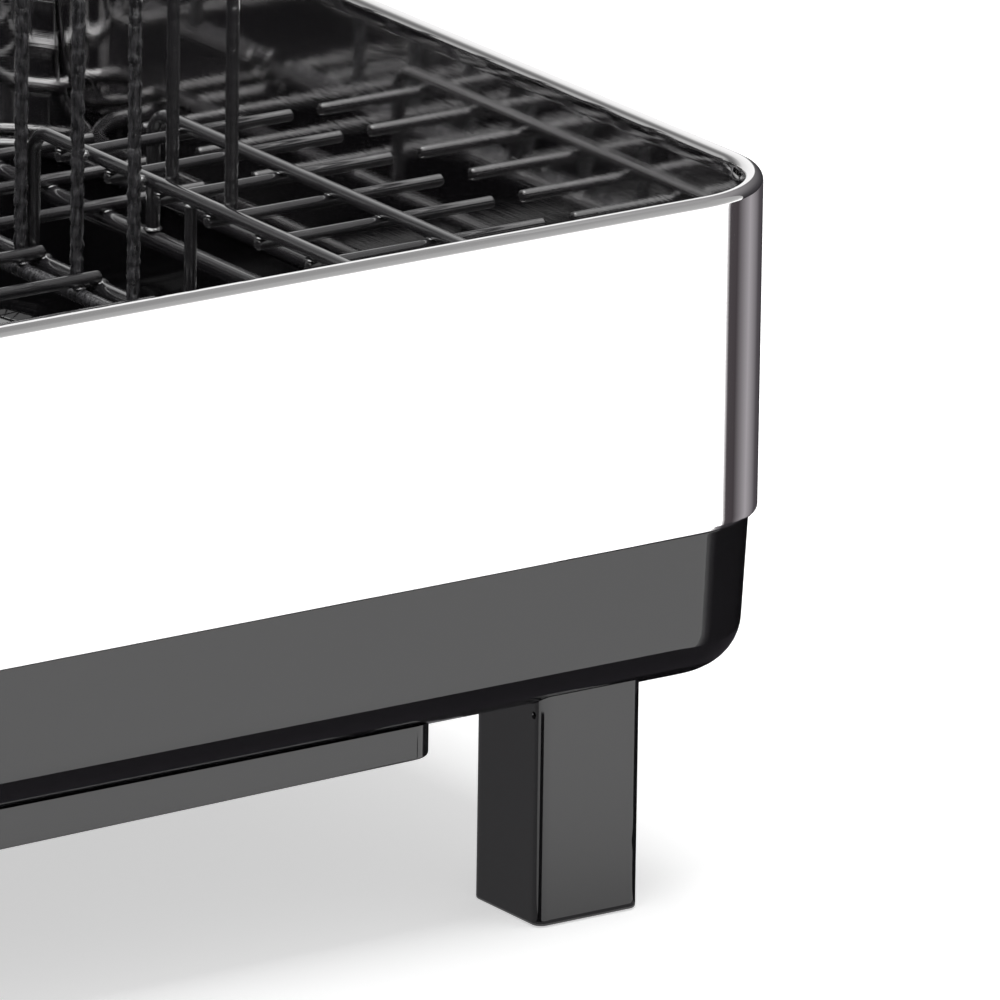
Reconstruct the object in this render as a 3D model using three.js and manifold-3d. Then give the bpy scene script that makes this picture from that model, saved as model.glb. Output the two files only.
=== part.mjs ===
// Dish drainer: a polished steel band on a black drip tray, with a lift-out wire rack.
// Millimetres, +Z up. The origin is on the surface that it stands on, under its middle.
// +X is the cup shelf's end, -X the cutlery and spout end, and -Y the front.
import * as THREE from 'three';
import Module from 'manifold-3d';
import { mergeVertices } from 'three/addons/utils/BufferGeometryUtils.js';

// Whole drainer
const bandLength = 490;
const bandDepth = 325;
const rimHeight = 169.8;
const seatGap = 0.3;
const cutOverrun = 2;
const cornerSteps = 6;

// Steel band
const bandHeight = 79.7;
const bandCornerRadius = 28.4;
const sheetThickness = 1.2;
const rimHemWidth = 4.5;
const rimHemDepth = 5;
const rimHemRounding = 2.1;
const hemSteps = 3;
const footHemWidth = 3.6;
const footHemDepth = 2;

// Drip tray
const trayInset = 2.5;
const trayCornerRadius = 24.5;
const trayFaceHeight = 25.3;
const trayDraft = 1.3;
const trayBottomRounding = 12;
const trayWall = 2.5;
const roundingSteps = 4;
const spigotClearance = 0.4;
const spigotWall = 2.6;
const snapLugLength = 14;
const snapLugDepth = 1.2;
const snapLugHeight = 3;
const restRibWidth = 5;
const restRibHeight = 6;

// Sump under the tray
const sumpInset = 7.8;
const sumpEndInset = 95.6;
const sumpDrop = 5.9;
const sumpFall = 4.1;
const sumpCornerRadius = 6;
const sumpEdgeRounding = 2;
const sumpEdgeSteps = 2;
const channelHalfWidth = 20;
const channelExtraDrop = 1;

// Outlet and swivel spout
const outletInset = 46;
const outletBore = 22;
const outletWall = 2.5;
const outletTubeLength = 8;
const pivotBossDiameter = 8;
const pivotHoleDepth = 7;
const pivotRibThickness = 3;
const pivotDiameter = 4;
const pivotHeadDiameter = 9;
const pivotHeadThickness = 2.5;
const screwClearance = 0.3;
const sealThickness = 1.6;
const spoutRunningGap = 1.4;
const spoutWall = 3;
const spoutCupDepth = 12;
const spoutWaterGap = 4;
const spoutReach = 82;
const spoutArmWidth = 25;
const spoutArmHeight = 10;
const roundSides = 24;
const screwSides = 12;

// Legs, foot pads and screws
const legWidth = 26.5;
const legDepth = 25;
const legSideInset = 40.1;
const legRounding = 4.2;
const padHeight = 3;
const padStandOut = 0.8;
const padMargin = 3;
const legHeadBore = 10;
const legScrewDiameter = 4;
const legScrewHead = 8.5;
const legScrewHeadThickness = 3;
const legScrewWeb = 9;
const legScrewBite = 7;
const screwBossDiameter = 11;
const screwBossRoof = 3;
const gateDimpleDiameter = 2.2;
const gateDimpleDepth = 0.8;
const gateDimpleDrop = 3.4;
const gateDimpleInset = 2.9;

// Wire rack
const wireSides = 8;
const thinWireSides = 6;
const bendSteps = 3;
const ringDiameter = 4;
const ringInset = 7.2;
const ringDrop = 68.1;
const ringCornerRadius = 22;
const weldDepth = 0.6;
const floorWireDiameter = 3.2;
const tineRailDiameter = 3.6;
const tineDiameter = 3.4;
const tineRise = 22.7;
const tinePitch = 24;
const backTineMargin = 25;
const frontWireMargin = 20;
const firstTineInset = 168.3;
const tineRowInset = 73.4;
const tineRowPitch = 80;
const rowToCaddyGap = 60;
const wireEndInset = 8;
const railEndInset = 5.6;

// Cup shelf of the rack
const shelfDrop = 31.3;
const hoopWireDiameter = 3.4;
const hoopBendRadius = 6;
const hoopFrontInset = 27;
const hoopBackInset = 216.6;
const farHoopSideInset = 36;
const shelfWireDiameter = 3;
const shelfWirePitch = 21;
const shelfWireMargin = 5;
const firstShelfWireInset = 36.5;
const shelfEndInset = 5;
const supportInsets = [ 88, 150 ];
const pegInsets = [ 137.5, 162.2 ];

// Cutlery caddy
const caddyWidth = 76;
const caddyLength = 190;
const caddyHeight = 92;
const caddyInset = 9;
const caddyBackInset = 25;
const caddyCornerRadius = 8;
const caddyDraft = 1.5;
const caddyWall = 2;
const caddyPockets = 3;
const caddySlotWidth = 4;
const caddySlotsPerPocket = 3;
const caddyRimWidth = 2.5;
const caddyRimDepth = 3;

// Places that follow from the sizes
const halfLength = bandLength / 2;
const halfDepth = bandDepth / 2;
const bandFootZ = rimHeight - bandHeight;
const gridRailDiameter = tineRailDiameter + seatGap + weldDepth;
const ringZ = rimHeight - ringDrop;
const railUndersideZ = ringZ + ringDiameter / 2 + seatGap;
const tineRailZ = railUndersideZ + tineRailDiameter / 2;
const gridRailZ = railUndersideZ + gridRailDiameter / 2;
const floorWireZ = tineRailZ + tineRailDiameter / 2 + seatGap + floorWireDiameter / 2;
const floorTopZ = floorWireZ + floorWireDiameter / 2;
const hoopFootZ = gridRailZ + gridRailDiameter / 2 + seatGap;
const shelfRailZ = rimHeight - shelfDrop;
const shelfWireZ = shelfRailZ - hoopWireDiameter / 2 - seatGap - shelfWireDiameter / 2;
const farShelfRailZ = shelfRailZ - seatGap - weldDepth;
const tineTopZ = rimHeight + tineRise;

const shoulderZ = bandFootZ - seatGap;
const trayFaceEndZ = shoulderZ - trayFaceHeight;
const trayBottomZ = trayFaceEndZ - trayBottomRounding;
const trayFloorZ = trayBottomZ + trayWall;
const spigotInset = footHemWidth + spigotClearance;
const spigotTopZ = ringZ - ringDiameter / 2 - seatGap;
const cavityInset = trayInset + trayDraft + trayWall;

const sumpRightX = halfLength - sumpEndInset;
const sumpMiddleZ = trayBottomZ - sumpDrop - sumpFall / 2;
const sumpSlope = sumpFall / ( 2 * sumpRightX );
const channelZ = sumpMiddleZ - sumpFall / 2 - channelExtraDrop;
const outletX = - halfLength + outletInset;
const outletRadius = outletBore / 2 + outletWall;
const outletEndZ = channelZ - outletTubeLength;

const tineX = halfLength - tineRowInset;
const nearRailX = tineX + tineDiameter / 2 + seatGap + hoopWireDiameter / 2;
const nearGridRailX = tineX + tineDiameter / 2 + seatGap + gridRailDiameter / 2;
const farRailX = halfLength - farHoopSideInset;
const runOnX = nearGridRailX + gridRailDiameter / 2;
const floorWireOffset = tineDiameter / 2 + floorWireDiameter / 2 + seatGap;

// Copies that fit the drainer
const tineCount = 1 + Math.floor( ( bandDepth - firstTineInset - backTineMargin ) / tinePitch );
const frontFloorWires = Math.floor( ( firstTineInset - frontWireMargin ) / tinePitch );
const caddyReach = caddyInset + caddyWidth + rowToCaddyGap;
const tineRowCount = 1 + Math.floor( ( bandLength - tineRowInset - caddyReach ) / tineRowPitch );
const shelfWireRun = hoopBackInset - shelfWireMargin - firstShelfWireInset;
const shelfWireCount = 1 + Math.floor( shelfWireRun / shelfWirePitch );

const wasm = await Module();
wasm.setup();

// Closed geometry to a solid that can be cut and joined, and back
function toSolid( geometry ) {

	const bare = geometry.clone();
	bare.deleteAttribute( 'normal' );
	bare.deleteAttribute( 'uv' );
	const merged = mergeVertices( bare );
	return new wasm.Manifold( new wasm.Mesh( {
		numProp: 3,
		vertProperties: new Float32Array( merged.attributes.position.array ),
		triVerts: new Uint32Array( merged.index.array ),
	} ) );

}

function toGeometry( solid ) {

	const { numProp, vertProperties, triVerts } = solid.getMesh();
	const corners = new THREE.InterleavedBuffer( vertProperties, numProp );
	const geometry = new THREE.BufferGeometry();
	geometry.setAttribute( 'position', new THREE.InterleavedBufferAttribute( corners, 3, 0 ) );
	geometry.setIndex( new THREE.BufferAttribute( triVerts, 1 ) );
	const faceted = geometry.toNonIndexed();
	faceted.computeVertexNormals();
	return faceted;

}

function joined( geometries ) {

	return geometries.map( toSolid ).reduce( ( whole, next ) => whole.add( next ) );

}

function cut( whole, geometries ) {

	return geometries.map( toSolid ).reduce( ( rest, next ) => rest.subtract( next ), whole );

}

// Rounded rectangle about a centre, anticlockwise seen from above
function roundedOutline( halfX, halfY, radius, centreX = 0, centreY = 0 ) {

	const points = [];
	for ( let corner = 0; corner < 4; corner ++ ) {

		const signX = corner === 0 || corner === 3 ? 1 : - 1;
		const signY = corner < 2 ? 1 : - 1;
		const start = corner * Math.PI / 2;
		const arc = new THREE.EllipseCurve(
			centreX + signX * ( halfX - radius ),
			centreY + signY * ( halfY - radius ),
			radius, radius, start, start + Math.PI / 2,
		);
		points.push( ...arc.getPoints( cornerSteps ) );

	}

	return points;

}

// Levels are outlines with a height and a fall along X. An open stack is capped at both ends
// and listed from the bottom up. A ring goes round a closed profile, anticlockwise in outward and up.
function stacked( levels, ring = false ) {

	const count = levels[ 0 ].outline.length;
	const positions = [];
	for ( const { outline, z, fall = 0 } of levels ) {

		for ( const point of outline ) positions.push( point.x, point.y, z + fall * point.x );

	}

	const index = [];
	const joins = ring ? levels.length : levels.length - 1;
	for ( let level = 0; level < joins; level ++ ) {

		const low = level * count;
		const high = ( level + 1 ) % levels.length * count;
		for ( let i = 0; i < count; i ++ ) {

			const next = ( i + 1 ) % count;
			index.push( low + i, low + next, high + next );
			index.push( low + i, high + next, high + i );

		}

	}

	if ( ! ring ) {

		const top = ( levels.length - 1 ) * count;
		for ( let i = 1; i < count - 1; i ++ ) {

			index.push( 0, i + 1, i );
			index.push( top, top + i, top + i + 1 );

		}

	}

	const geometry = new THREE.BufferGeometry();
	geometry.setAttribute( 'position', new THREE.Float32BufferAttribute( positions, 3 ) );
	geometry.setIndex( index );
	return geometry;

}

// Outline of the drainer drawn in by an inset, with the corner that goes with it
function insetOutline( inset, cornerRadius ) {

	return roundedOutline( halfLength - inset, halfDepth - inset, cornerRadius );

}

function block( sizeX, sizeY, lowZ, highZ, centreX = 0, centreY = 0 ) {

	const geometry = new THREE.BoxGeometry( sizeX, sizeY, highZ - lowZ );
	geometry.translate( centreX, centreY, ( lowZ + highZ ) / 2 );
	return geometry;

}

function rod( diameter, lowZ, highZ, centreX = 0, centreY = 0, sides = roundSides ) {

	const geometry = new THREE.CylinderGeometry( diameter / 2, diameter / 2, highZ - lowZ, sides );
	geometry.rotateX( Math.PI / 2 );
	geometry.translate( centreX, centreY, ( lowZ + highZ ) / 2 );
	return geometry;

}

// Solid of revolution about a vertical axis from radius and height pairs
function turned( profile, centreX, centreY, sides = roundSides ) {

	const points = profile.map( ( [ radius, z ] ) => new THREE.Vector2( radius, z ) );
	const geometry = new THREE.LatheGeometry( points, sides );
	geometry.rotateX( Math.PI / 2 );
	geometry.translate( centreX, centreY, 0 );
	return geometry;

}

// Points of a wire's centre line, each inner corner rounded to the bend radius
function bentPoints( corners, bendRadius ) {

	const points = [ corners[ 0 ] ];
	for ( let i = 1; i < corners.length - 1; i ++ ) {

		const back = corners[ i - 1 ].clone().sub( corners[ i ] ).normalize();
		const ahead = corners[ i + 1 ].clone().sub( corners[ i ] ).normalize();
		const halfAngle = back.angleTo( ahead ) / 2;
		const setBack = bendRadius / Math.tan( halfAngle );
		const middle = back.clone().add( ahead ).normalize();
		const centre = middle.multiplyScalar( bendRadius / Math.sin( halfAngle ) ).add( corners[ i ] );
		const start = back.multiplyScalar( setBack ).add( corners[ i ] ).sub( centre );
		const end = ahead.multiplyScalar( setBack ).add( corners[ i ] ).sub( centre );
		const axis = start.clone().cross( end ).normalize();
		const turn = start.angleTo( end );
		for ( let step = 0; step <= bendSteps; step ++ ) {

			const spoke = start.clone().applyAxisAngle( axis, turn * step / bendSteps );
			points.push( spoke.add( centre ) );

		}

	}

	points.push( corners.at( - 1 ) );
	return points;

}

// Centre line with one step from each of its points to the next
class WireRoute extends THREE.Curve {

	constructor( points ) {

		super();
		this.points = points;
		this.steps = points.length - 1;

	}

	pointOf( step ) {

		return this.points[ Math.min( Math.max( step, 0 ), this.steps ) ];

	}

	getPointAt( share ) {

		return this.pointOf( Math.round( share * this.steps ) ).clone();

	}

	getTangentAt( share ) {

		const step = Math.round( share * this.steps );
		const here = this.pointOf( step );
		const arriving = here.clone().sub( this.pointOf( step - 1 ) ).normalize();
		const leaving = this.pointOf( step + 1 ).clone().sub( here ).normalize();
		return arriving.add( leaving ).normalize();

	}

}

function wireAlong( points, diameter, sides = wireSides ) {

	const route = new WireRoute( points );
	const section = new THREE.Shape();
	for ( let side = 0; side < sides; side ++ ) {

		const angle = ( side + 0.5 ) * 2 * Math.PI / sides;
		const x = Math.cos( angle ) * diameter / 2;
		const y = Math.sin( angle ) * diameter / 2;
		if ( side === 0 ) section.moveTo( x, y );
		else section.lineTo( x, y );

	}

	return new THREE.ExtrudeGeometry( section, { steps: route.steps, extrudePath: route } );

}

function wire( corners, diameter, bendRadius = 0, sides = wireSides ) {

	return wireAlong( bentPoints( corners, bendRadius ), diameter, sides );

}

function at( x, y, z ) {

	return new THREE.Vector3( x, y, z );

}

// Place measured in from the front face
function fromFront( inset ) {

	return - halfDepth + inset;

}

// Band: one strip with a closed hem at the rim and a short one at its foot
function steelBand() {

	const profile = [ [ 0, bandFootZ ] ];
	const roundCentres = [ [ rimHemRounding, Math.PI ], [ rimHemWidth - rimHemRounding, Math.PI / 2 ] ];
	for ( const [ centre, startAngle ] of roundCentres ) {

		for ( let step = 0; step <= hemSteps; step ++ ) {

			const angle = startAngle - step / hemSteps * Math.PI / 2;
			profile.push( [
				centre + rimHemRounding * Math.cos( angle ),
				rimHeight - rimHemRounding * ( 1 - Math.sin( angle ) ),
			] );

		}

	}

	profile.push(
		[ rimHemWidth, rimHeight - rimHemDepth ],
		[ sheetThickness, rimHeight - rimHemDepth ],
		[ sheetThickness, bandFootZ + footHemDepth ],
		[ footHemWidth, bandFootZ + footHemDepth ],
		[ footHemWidth, bandFootZ ],
	);
	return stacked( profile.map( ( [ inset, z ] ) => ( {
		outline: insetOutline( inset, bandCornerRadius - inset ),
		z,
	} ) ), true );

}

// Outside of the tray's pan from its flat bottom up to the shoulder, larger all round by a growth
function panLevels( growth ) {

	const levels = [];
	for ( let step = 0; step <= roundingSteps; step ++ ) {

		const angle = step / roundingSteps * Math.PI / 2;
		const inset = trayInset + trayDraft + trayBottomRounding * ( 1 - Math.sin( angle ) ) - growth;
		levels.push( {
			outline: insetOutline( inset, trayCornerRadius - ( inset + growth - trayInset ) + growth ),
			z: trayFaceEndZ - ( trayBottomRounding + growth ) * Math.cos( angle ),
		} );

	}

	levels.push( {
		outline: insetOutline( trayInset - growth, trayCornerRadius + growth ),
		z: shoulderZ + growth,
	} );
	return levels;

}

function trayOutside() {

	const spigotRadius = bandCornerRadius - spigotInset;
	const levels = panLevels( 0 );
	levels.push( { outline: insetOutline( spigotInset, spigotRadius ), z: shoulderZ } );
	levels.push( { outline: insetOutline( spigotInset, spigotRadius ), z: spigotTopZ } );
	return stacked( levels );

}

function trayInside() {

	const innerInset = spigotInset + spigotWall;
	const innerRounding = trayBottomRounding - trayWall;
	const levels = [];
	for ( let step = 0; step <= roundingSteps; step ++ ) {

		const angle = step / roundingSteps * Math.PI / 2;
		const inset = cavityInset + innerRounding * ( 1 - Math.sin( angle ) );
		levels.push( {
			outline: insetOutline( inset, trayCornerRadius - ( inset - trayInset ) ),
			z: trayFaceEndZ - innerRounding * Math.cos( angle ),
		} );

	}

	const mouth = insetOutline( innerInset, bandCornerRadius - innerInset );
	levels.push( { outline: mouth, z: shoulderZ } );
	levels.push( { outline: mouth, z: spigotTopZ + cutOverrun } );
	return stacked( levels );

}

// Sump box with its fall towards the spout, drawn in by a wall and raised by it
function sumpBody( wall, topZ ) {

	const halfX = sumpRightX - wall;
	const halfY = halfDepth - sumpInset - wall;
	const radius = sumpCornerRadius - wall;
	const levels = [];
	for ( let step = 0; step <= sumpEdgeSteps; step ++ ) {

		const angle = step / sumpEdgeSteps * Math.PI / 2;
		const drawIn = sumpEdgeRounding * ( 1 - Math.sin( angle ) );
		levels.push( {
			outline: roundedOutline( halfX - drawIn, halfY - drawIn, radius - drawIn ),
			z: sumpMiddleZ + wall + sumpEdgeRounding * ( 1 - Math.cos( angle ) ),
			fall: sumpSlope,
		} );

	}

	levels.push( { outline: roundedOutline( halfX, halfY, radius ), z: topZ } );
	return stacked( levels );

}

function channelBody( wall, topZ ) {

	const halfWidth = channelHalfWidth - wall;
	const endX = outletX - halfWidth;
	const innerEndX = - sumpRightX + sumpCornerRadius + trayWall;
	const halfX = ( innerEndX - endX ) / 2;
	const radius = halfWidth - sumpEdgeRounding;
	const outline = roundedOutline( halfX, halfWidth, radius, ( innerEndX + endX ) / 2 );
	return stacked( [ { outline, z: channelZ + wall }, { outline, z: topZ } ] );

}

const legPlaces = [];
for ( const sideX of [ - 1, 1 ] ) {

	for ( const sideY of [ - 1, 1 ] ) {

		legPlaces.push( {
			name: ( sideY < 0 ? 'front_' : 'back_' ) + ( sideX < 0 ? 'left' : 'right' ),
			sideX,
			sideY,
			x: sideX * ( halfLength - legSideInset - legWidth / 2 ),
			y: sideY * ( halfDepth - sumpInset - legDepth / 2 ),
		} );

	}

}

// Snap lugs over the band's foot hem, two on each long side and one on each end
const lugShare = 0.5;
const lugPlaces = [
	...[ - 1, 1 ].flatMap( ( side ) => [ - 1, 1 ].map( ( along ) => ( {
		x: along * lugShare * halfLength, y: side * ( halfDepth - spigotInset ), alongX: true,
	} ) ) ),
	...[ - 1, 1 ].map( ( side ) => ( { x: side * ( halfLength - spigotInset ), y: 0, alongX: false } ) ),
];

// Ribs inside the tray's rim that carry the rack's ring
const ribShares = [ - 0.6, 0, 0.6 ];
const ribPlaces = [
	...[ - 1, 1 ].flatMap( ( side ) => ribShares.map( ( share ) => ( {
		x: share * halfLength, y: side, alongX: true,
	} ) ) ),
	...[ - 1, 1 ].flatMap( ( side ) => [ - 1, 1 ].map( ( along ) => ( {
		x: side, y: along * ribShares[ 2 ] * halfDepth, alongX: false,
	} ) ) ),
];

function restRib( { x, y, alongX } ) {

	const outerInset = spigotInset + spigotWall / 2;
	const innerInset = ringInset + ringDiameter / 2;
	const depth = innerInset - outerInset;
	const middle = ( innerInset + outerInset ) / 2;
	const lowZ = spigotTopZ - restRibHeight;
	return alongX
		? block( restRibWidth, depth, lowZ, spigotTopZ, x, y * ( halfDepth - middle ) )
		: block( depth, restRibWidth, lowZ, spigotTopZ, x * ( halfLength - middle ), y );

}

function snapLug( { x, y, alongX } ) {

	const lowZ = bandFootZ + footHemDepth + seatGap;
	const reach = 2 * snapLugDepth;
	return alongX
		? block( snapLugLength, reach, lowZ, lowZ + snapLugHeight, x, y )
		: block( reach, snapLugLength, lowZ, lowZ + snapLugHeight, x, y );

}

function dripTray() {

	const screwHoleTopZ = trayBottomZ + legScrewBite + screwClearance;
	const bossFootZ = trayBottomZ + trayWall / 2;
	const openTopZ = trayFloorZ + cutOverrun;
	const tubeTopZ = channelZ + trayWall;
	const hollow = cut( joined( [
		trayOutside(),
		sumpBody( 0, trayFloorZ ),
		channelBody( 0, trayFloorZ ),
	] ), [
		trayInside(),
		sumpBody( trayWall, openTopZ ),
		channelBody( trayWall, openTopZ ),
	] );
	const full = hollow.add( joined( [
		rod( 2 * outletRadius, outletEndZ, tubeTopZ, outletX ),
		...lugPlaces.map( snapLug ),
		...ribPlaces.map( restRib ),
		...legPlaces.map( ( { x, y } ) => rod(
			screwBossDiameter, bossFootZ, screwHoleTopZ + screwBossRoof, x, y, screwSides,
		) ),
	] ) );
	const bored = cut( full, [
		rod( outletBore, outletEndZ - cutOverrun, tubeTopZ + cutOverrun, outletX ),
		...legPlaces.map( ( { x, y } ) => rod(
			legScrewDiameter + 2 * screwClearance, trayBottomZ - cutOverrun, screwHoleTopZ, x, y, screwSides,
		) ),
	] );
	const pivot = cut( joined( [
		rod( pivotBossDiameter, outletEndZ, tubeTopZ, outletX ),
		block( outletBore + outletWall, pivotRibThickness, outletEndZ, tubeTopZ, outletX ),
	] ), [
		rod( pivotDiameter + 2 * screwClearance, outletEndZ - cutOverrun, outletEndZ + pivotHoleDepth, outletX ),
	] );
	return toGeometry( bored.add( pivot ) );

}

// Spout parts, seen from the outlet's axis and parked along the drainer's depth
const spoutTopZ = channelZ - sealThickness - 2 * seatGap;
const spoutBottomZ = spoutTopZ - spoutCupDepth;
const spoutFloorZ = outletEndZ - spoutWaterGap;
const spoutBore = 2 * ( outletRadius + spoutRunningGap );

function swivelSpout() {

	const armTopZ = spoutBottomZ + spoutArmHeight;
	const outer = joined( [
		rod( spoutBore + 2 * spoutWall, spoutBottomZ, spoutTopZ, outletX ),
		block( spoutArmWidth, spoutReach, spoutBottomZ, armTopZ, outletX, spoutReach / 2 ),
	] );
	const troughWidth = spoutArmWidth - 2 * spoutWall;
	const solid = cut( outer, [
		rod( spoutBore, spoutFloorZ, spoutTopZ + cutOverrun, outletX ),
		block( troughWidth, spoutReach + cutOverrun, spoutFloorZ, armTopZ + cutOverrun,
			outletX, ( spoutReach + cutOverrun ) / 2 ),
		rod( pivotDiameter + 2 * screwClearance, spoutBottomZ - cutOverrun, spoutFloorZ + cutOverrun, outletX ),
	] );
	return toGeometry( solid );

}

function spoutSeal() {

	const inner = outletRadius + seatGap;
	const outer = spoutBore / 2 + spoutWall;
	const lowZ = spoutTopZ + seatGap;
	const highZ = lowZ + sealThickness;
	return turned( [ [ inner, lowZ ], [ outer, lowZ ], [ outer, highZ ], [ inner, highZ ], [ inner, lowZ ] ],
		outletX, 0 );

}

function screw( diameter, headDiameter, headThickness, headTopZ, tipZ, x, y ) {

	const headZ = headTopZ - headThickness;
	const chamfer = diameter / 4;
	return turned( [
		[ 0, headZ ],
		[ headDiameter / 2 - chamfer, headZ ],
		[ headDiameter / 2, headZ + chamfer ],
		[ headDiameter / 2, headTopZ ],
		[ diameter / 2, headTopZ ],
		[ diameter / 2, tipZ - chamfer ],
		[ 0, tipZ ],
	], x, y, screwSides );

}

const legScrewSeatZ = trayBottomZ - legScrewWeb;

function leg( { x, y, sideX, sideY } ) {

	const outline = roundedOutline( legWidth / 2, legDepth / 2, legRounding, x, y );
	const body = toSolid( stacked( [
		{ outline, z: padStandOut },
		{ outline, z: trayBottomZ + trayBottomRounding / 2 },
	] ) );
	const recess = roundedOutline(
		legWidth / 2 - padMargin + seatGap, legDepth / 2 - padMargin + seatGap, legRounding, x, y,
	);
	const dimple = new THREE.CylinderGeometry(
		gateDimpleDiameter / 2, gateDimpleDiameter / 2, 2 * gateDimpleDepth, wireSides,
	);
	dimple.rotateZ( Math.PI / 2 );
	dimple.translate(
		x - sideX * legWidth / 2,
		y + sideY * ( legDepth / 2 - gateDimpleInset ),
		trayBottomZ - gateDimpleDrop,
	);
	return toGeometry( cut( body, [
		stacked( panLevels( seatGap ) ),
		stacked( [ { outline: recess, z: 0 }, { outline: recess, z: padHeight + seatGap } ] ),
		rod( legHeadBore, padHeight, legScrewSeatZ, x, y, screwSides ),
		rod( legScrewDiameter + 2 * screwClearance, padHeight, trayBottomZ + cutOverrun, x, y, screwSides ),
		dimple,
	] ) );

}

function footPad( { x, y } ) {

	const halfX = legWidth / 2 - padMargin;
	const halfY = legDepth / 2 - padMargin;
	const outline = roundedOutline( halfX, halfY, legRounding, x, y );
	return stacked( [ { outline, z: 0 }, { outline, z: padHeight } ] );

}

// Half of the ring that the rack stands on, bent round one end inside the band. The halves' ends meet on ribs.
function rackRingHalf( sideX ) {

	const bends = insetOutline( ringInset, ringCornerRadius )
		.filter( ( { x } ) => x * sideX > 0 )
		.sort( ( one, other ) => one.y - other.y );
	const meetingX = sideX * seatGap / 2;
	const ringY = halfDepth - ringInset;
	return wireAlong( [
		at( meetingX, - ringY, ringZ ),
		...bends.map( ( { x, y } ) => at( x, y, ringZ ) ),
		at( meetingX, ringY, ringZ ),
	], ringDiameter );

}

function railAlongY( x, z, diameter, frontY, backY ) {

	return wire( [ at( x, frontY, z ), at( x, backY, z ) ], diameter );

}

const railFrontY = fromFront( railEndInset );
const railBackY = - railFrontY;

// Floor wires run across just in front of each tine's line, from one X to another
function floorWires( leftX, rightX, wanted ) {

	const pieces = [];
	for ( let k = - frontFloorWires; k < tineCount; k ++ ) {

		const tineInset = firstTineInset + tinePitch * k;
		const y = fromFront( tineInset ) - floorWireOffset;
		const across = [ at( leftX, y, floorWireZ ), at( rightX, y, floorWireZ ) ];
		if ( wanted( tineInset ) ) pieces.push( wire( across, floorWireDiameter, 0, thinWireSides ) );

	}

	return pieces;

}

// Floor wires beside the cup shelf run on to the drainer's end. The others stop at its near rail.
function clearOfShelf( tineInset ) {

	return tineInset < hoopFrontInset || tineInset > hoopBackInset;

}

// Main floor: rails from front to back with every floor wire on them
function rackFloor() {

	const leftX = - halfLength + wireEndInset;
	const rails = [ nearGridRailX ];
	for ( let i = 0; i <= tineRowCount; i ++ ) rails.push( tineX - tineRowPitch * ( i + 0.5 ) );
	const pieces = rails.map( ( x ) => railAlongY( x, gridRailZ, gridRailDiameter, railFrontY, railBackY ) );
	pieces.push( ...floorWires( leftX, runOnX, clearOfShelf ) );
	pieces.push( ...floorWires( leftX, nearGridRailX, ( tineInset ) => ! clearOfShelf( tineInset ) ) );
	return toGeometry( joined( pieces ) );

}

// Floor beside and behind the cup shelf: one rail with the wires that go on to the end
function shelfFloor() {

	return toGeometry( joined( [
		railAlongY( farRailX, gridRailZ, gridRailDiameter, railFrontY, railBackY ),
		...floorWires( runOnX + seatGap, halfLength - wireEndInset, clearOfShelf ),
	] ) );

}

// Tine row: a rail under the floor wires with tines standing on it
function tineRow( x ) {

	const railX = x - tineDiameter / 2;
	const pieces = [ railAlongY( railX, tineRailZ, tineRailDiameter, railFrontY, railBackY ) ];
	const radius = tineDiameter / 2;
	const tip = radius / 2;
	for ( let k = 0; k < tineCount; k ++ ) {

		pieces.push( turned( [
			[ 0, tineRailZ ],
			[ radius, tineRailZ ],
			[ radius, tineTopZ - tip ],
			[ radius - tip, tineTopZ ],
			[ 0, tineTopZ ],
		], x, fromFront( firstTineInset + tinePitch * k ), wireSides ) );

	}

	return toGeometry( joined( pieces ) );

}

// Hoops stand on the floor's rails
function hoop( x, railZ ) {

	const frontY = fromFront( hoopFrontInset );
	const backY = fromFront( hoopBackInset );
	return wire( [
		at( x, frontY, hoopFootZ ),
		at( x, frontY, railZ ),
		at( x, backY, railZ ),
		at( x, backY, hoopFootZ ),
	], hoopWireDiameter, hoopBendRadius );

}

// Near hoop of the cup shelf, with props under it and pegs on its shelf side
function pegHoop() {

	const pieces = [ hoop( nearRailX, shelfRailZ ) ];
	for ( const inset of supportInsets ) {

		pieces.push( rod( shelfWireDiameter, hoopFootZ, shelfRailZ, nearRailX, fromFront( inset ), wireSides ) );

	}

	const pegX = nearRailX + hoopWireDiameter - weldDepth;
	const pegFootZ = shelfRailZ - hoopWireDiameter / 2;
	for ( const inset of pegInsets ) {

		pieces.push( rod( hoopWireDiameter, pegFootZ, tineTopZ, pegX, fromFront( inset ), wireSides ) );

	}

	return toGeometry( joined( pieces ) );

}

// Cup shelf: the far hoop with wires under it, which pass just under the near hoop
function cupShelf() {

	const pieces = [ hoop( farRailX, farShelfRailZ ) ];
	const leftX = nearRailX - hoopWireDiameter / 2;
	for ( let i = 0; i < shelfWireCount; i ++ ) {

		const y = fromFront( firstShelfWireInset + shelfWirePitch * i );
		const across = [ at( leftX, y, shelfWireZ ), at( halfLength - shelfEndInset, y, shelfWireZ ) ];
		pieces.push( wire( across, shelfWireDiameter ) );

	}

	return toGeometry( joined( pieces ) );

}

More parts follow.
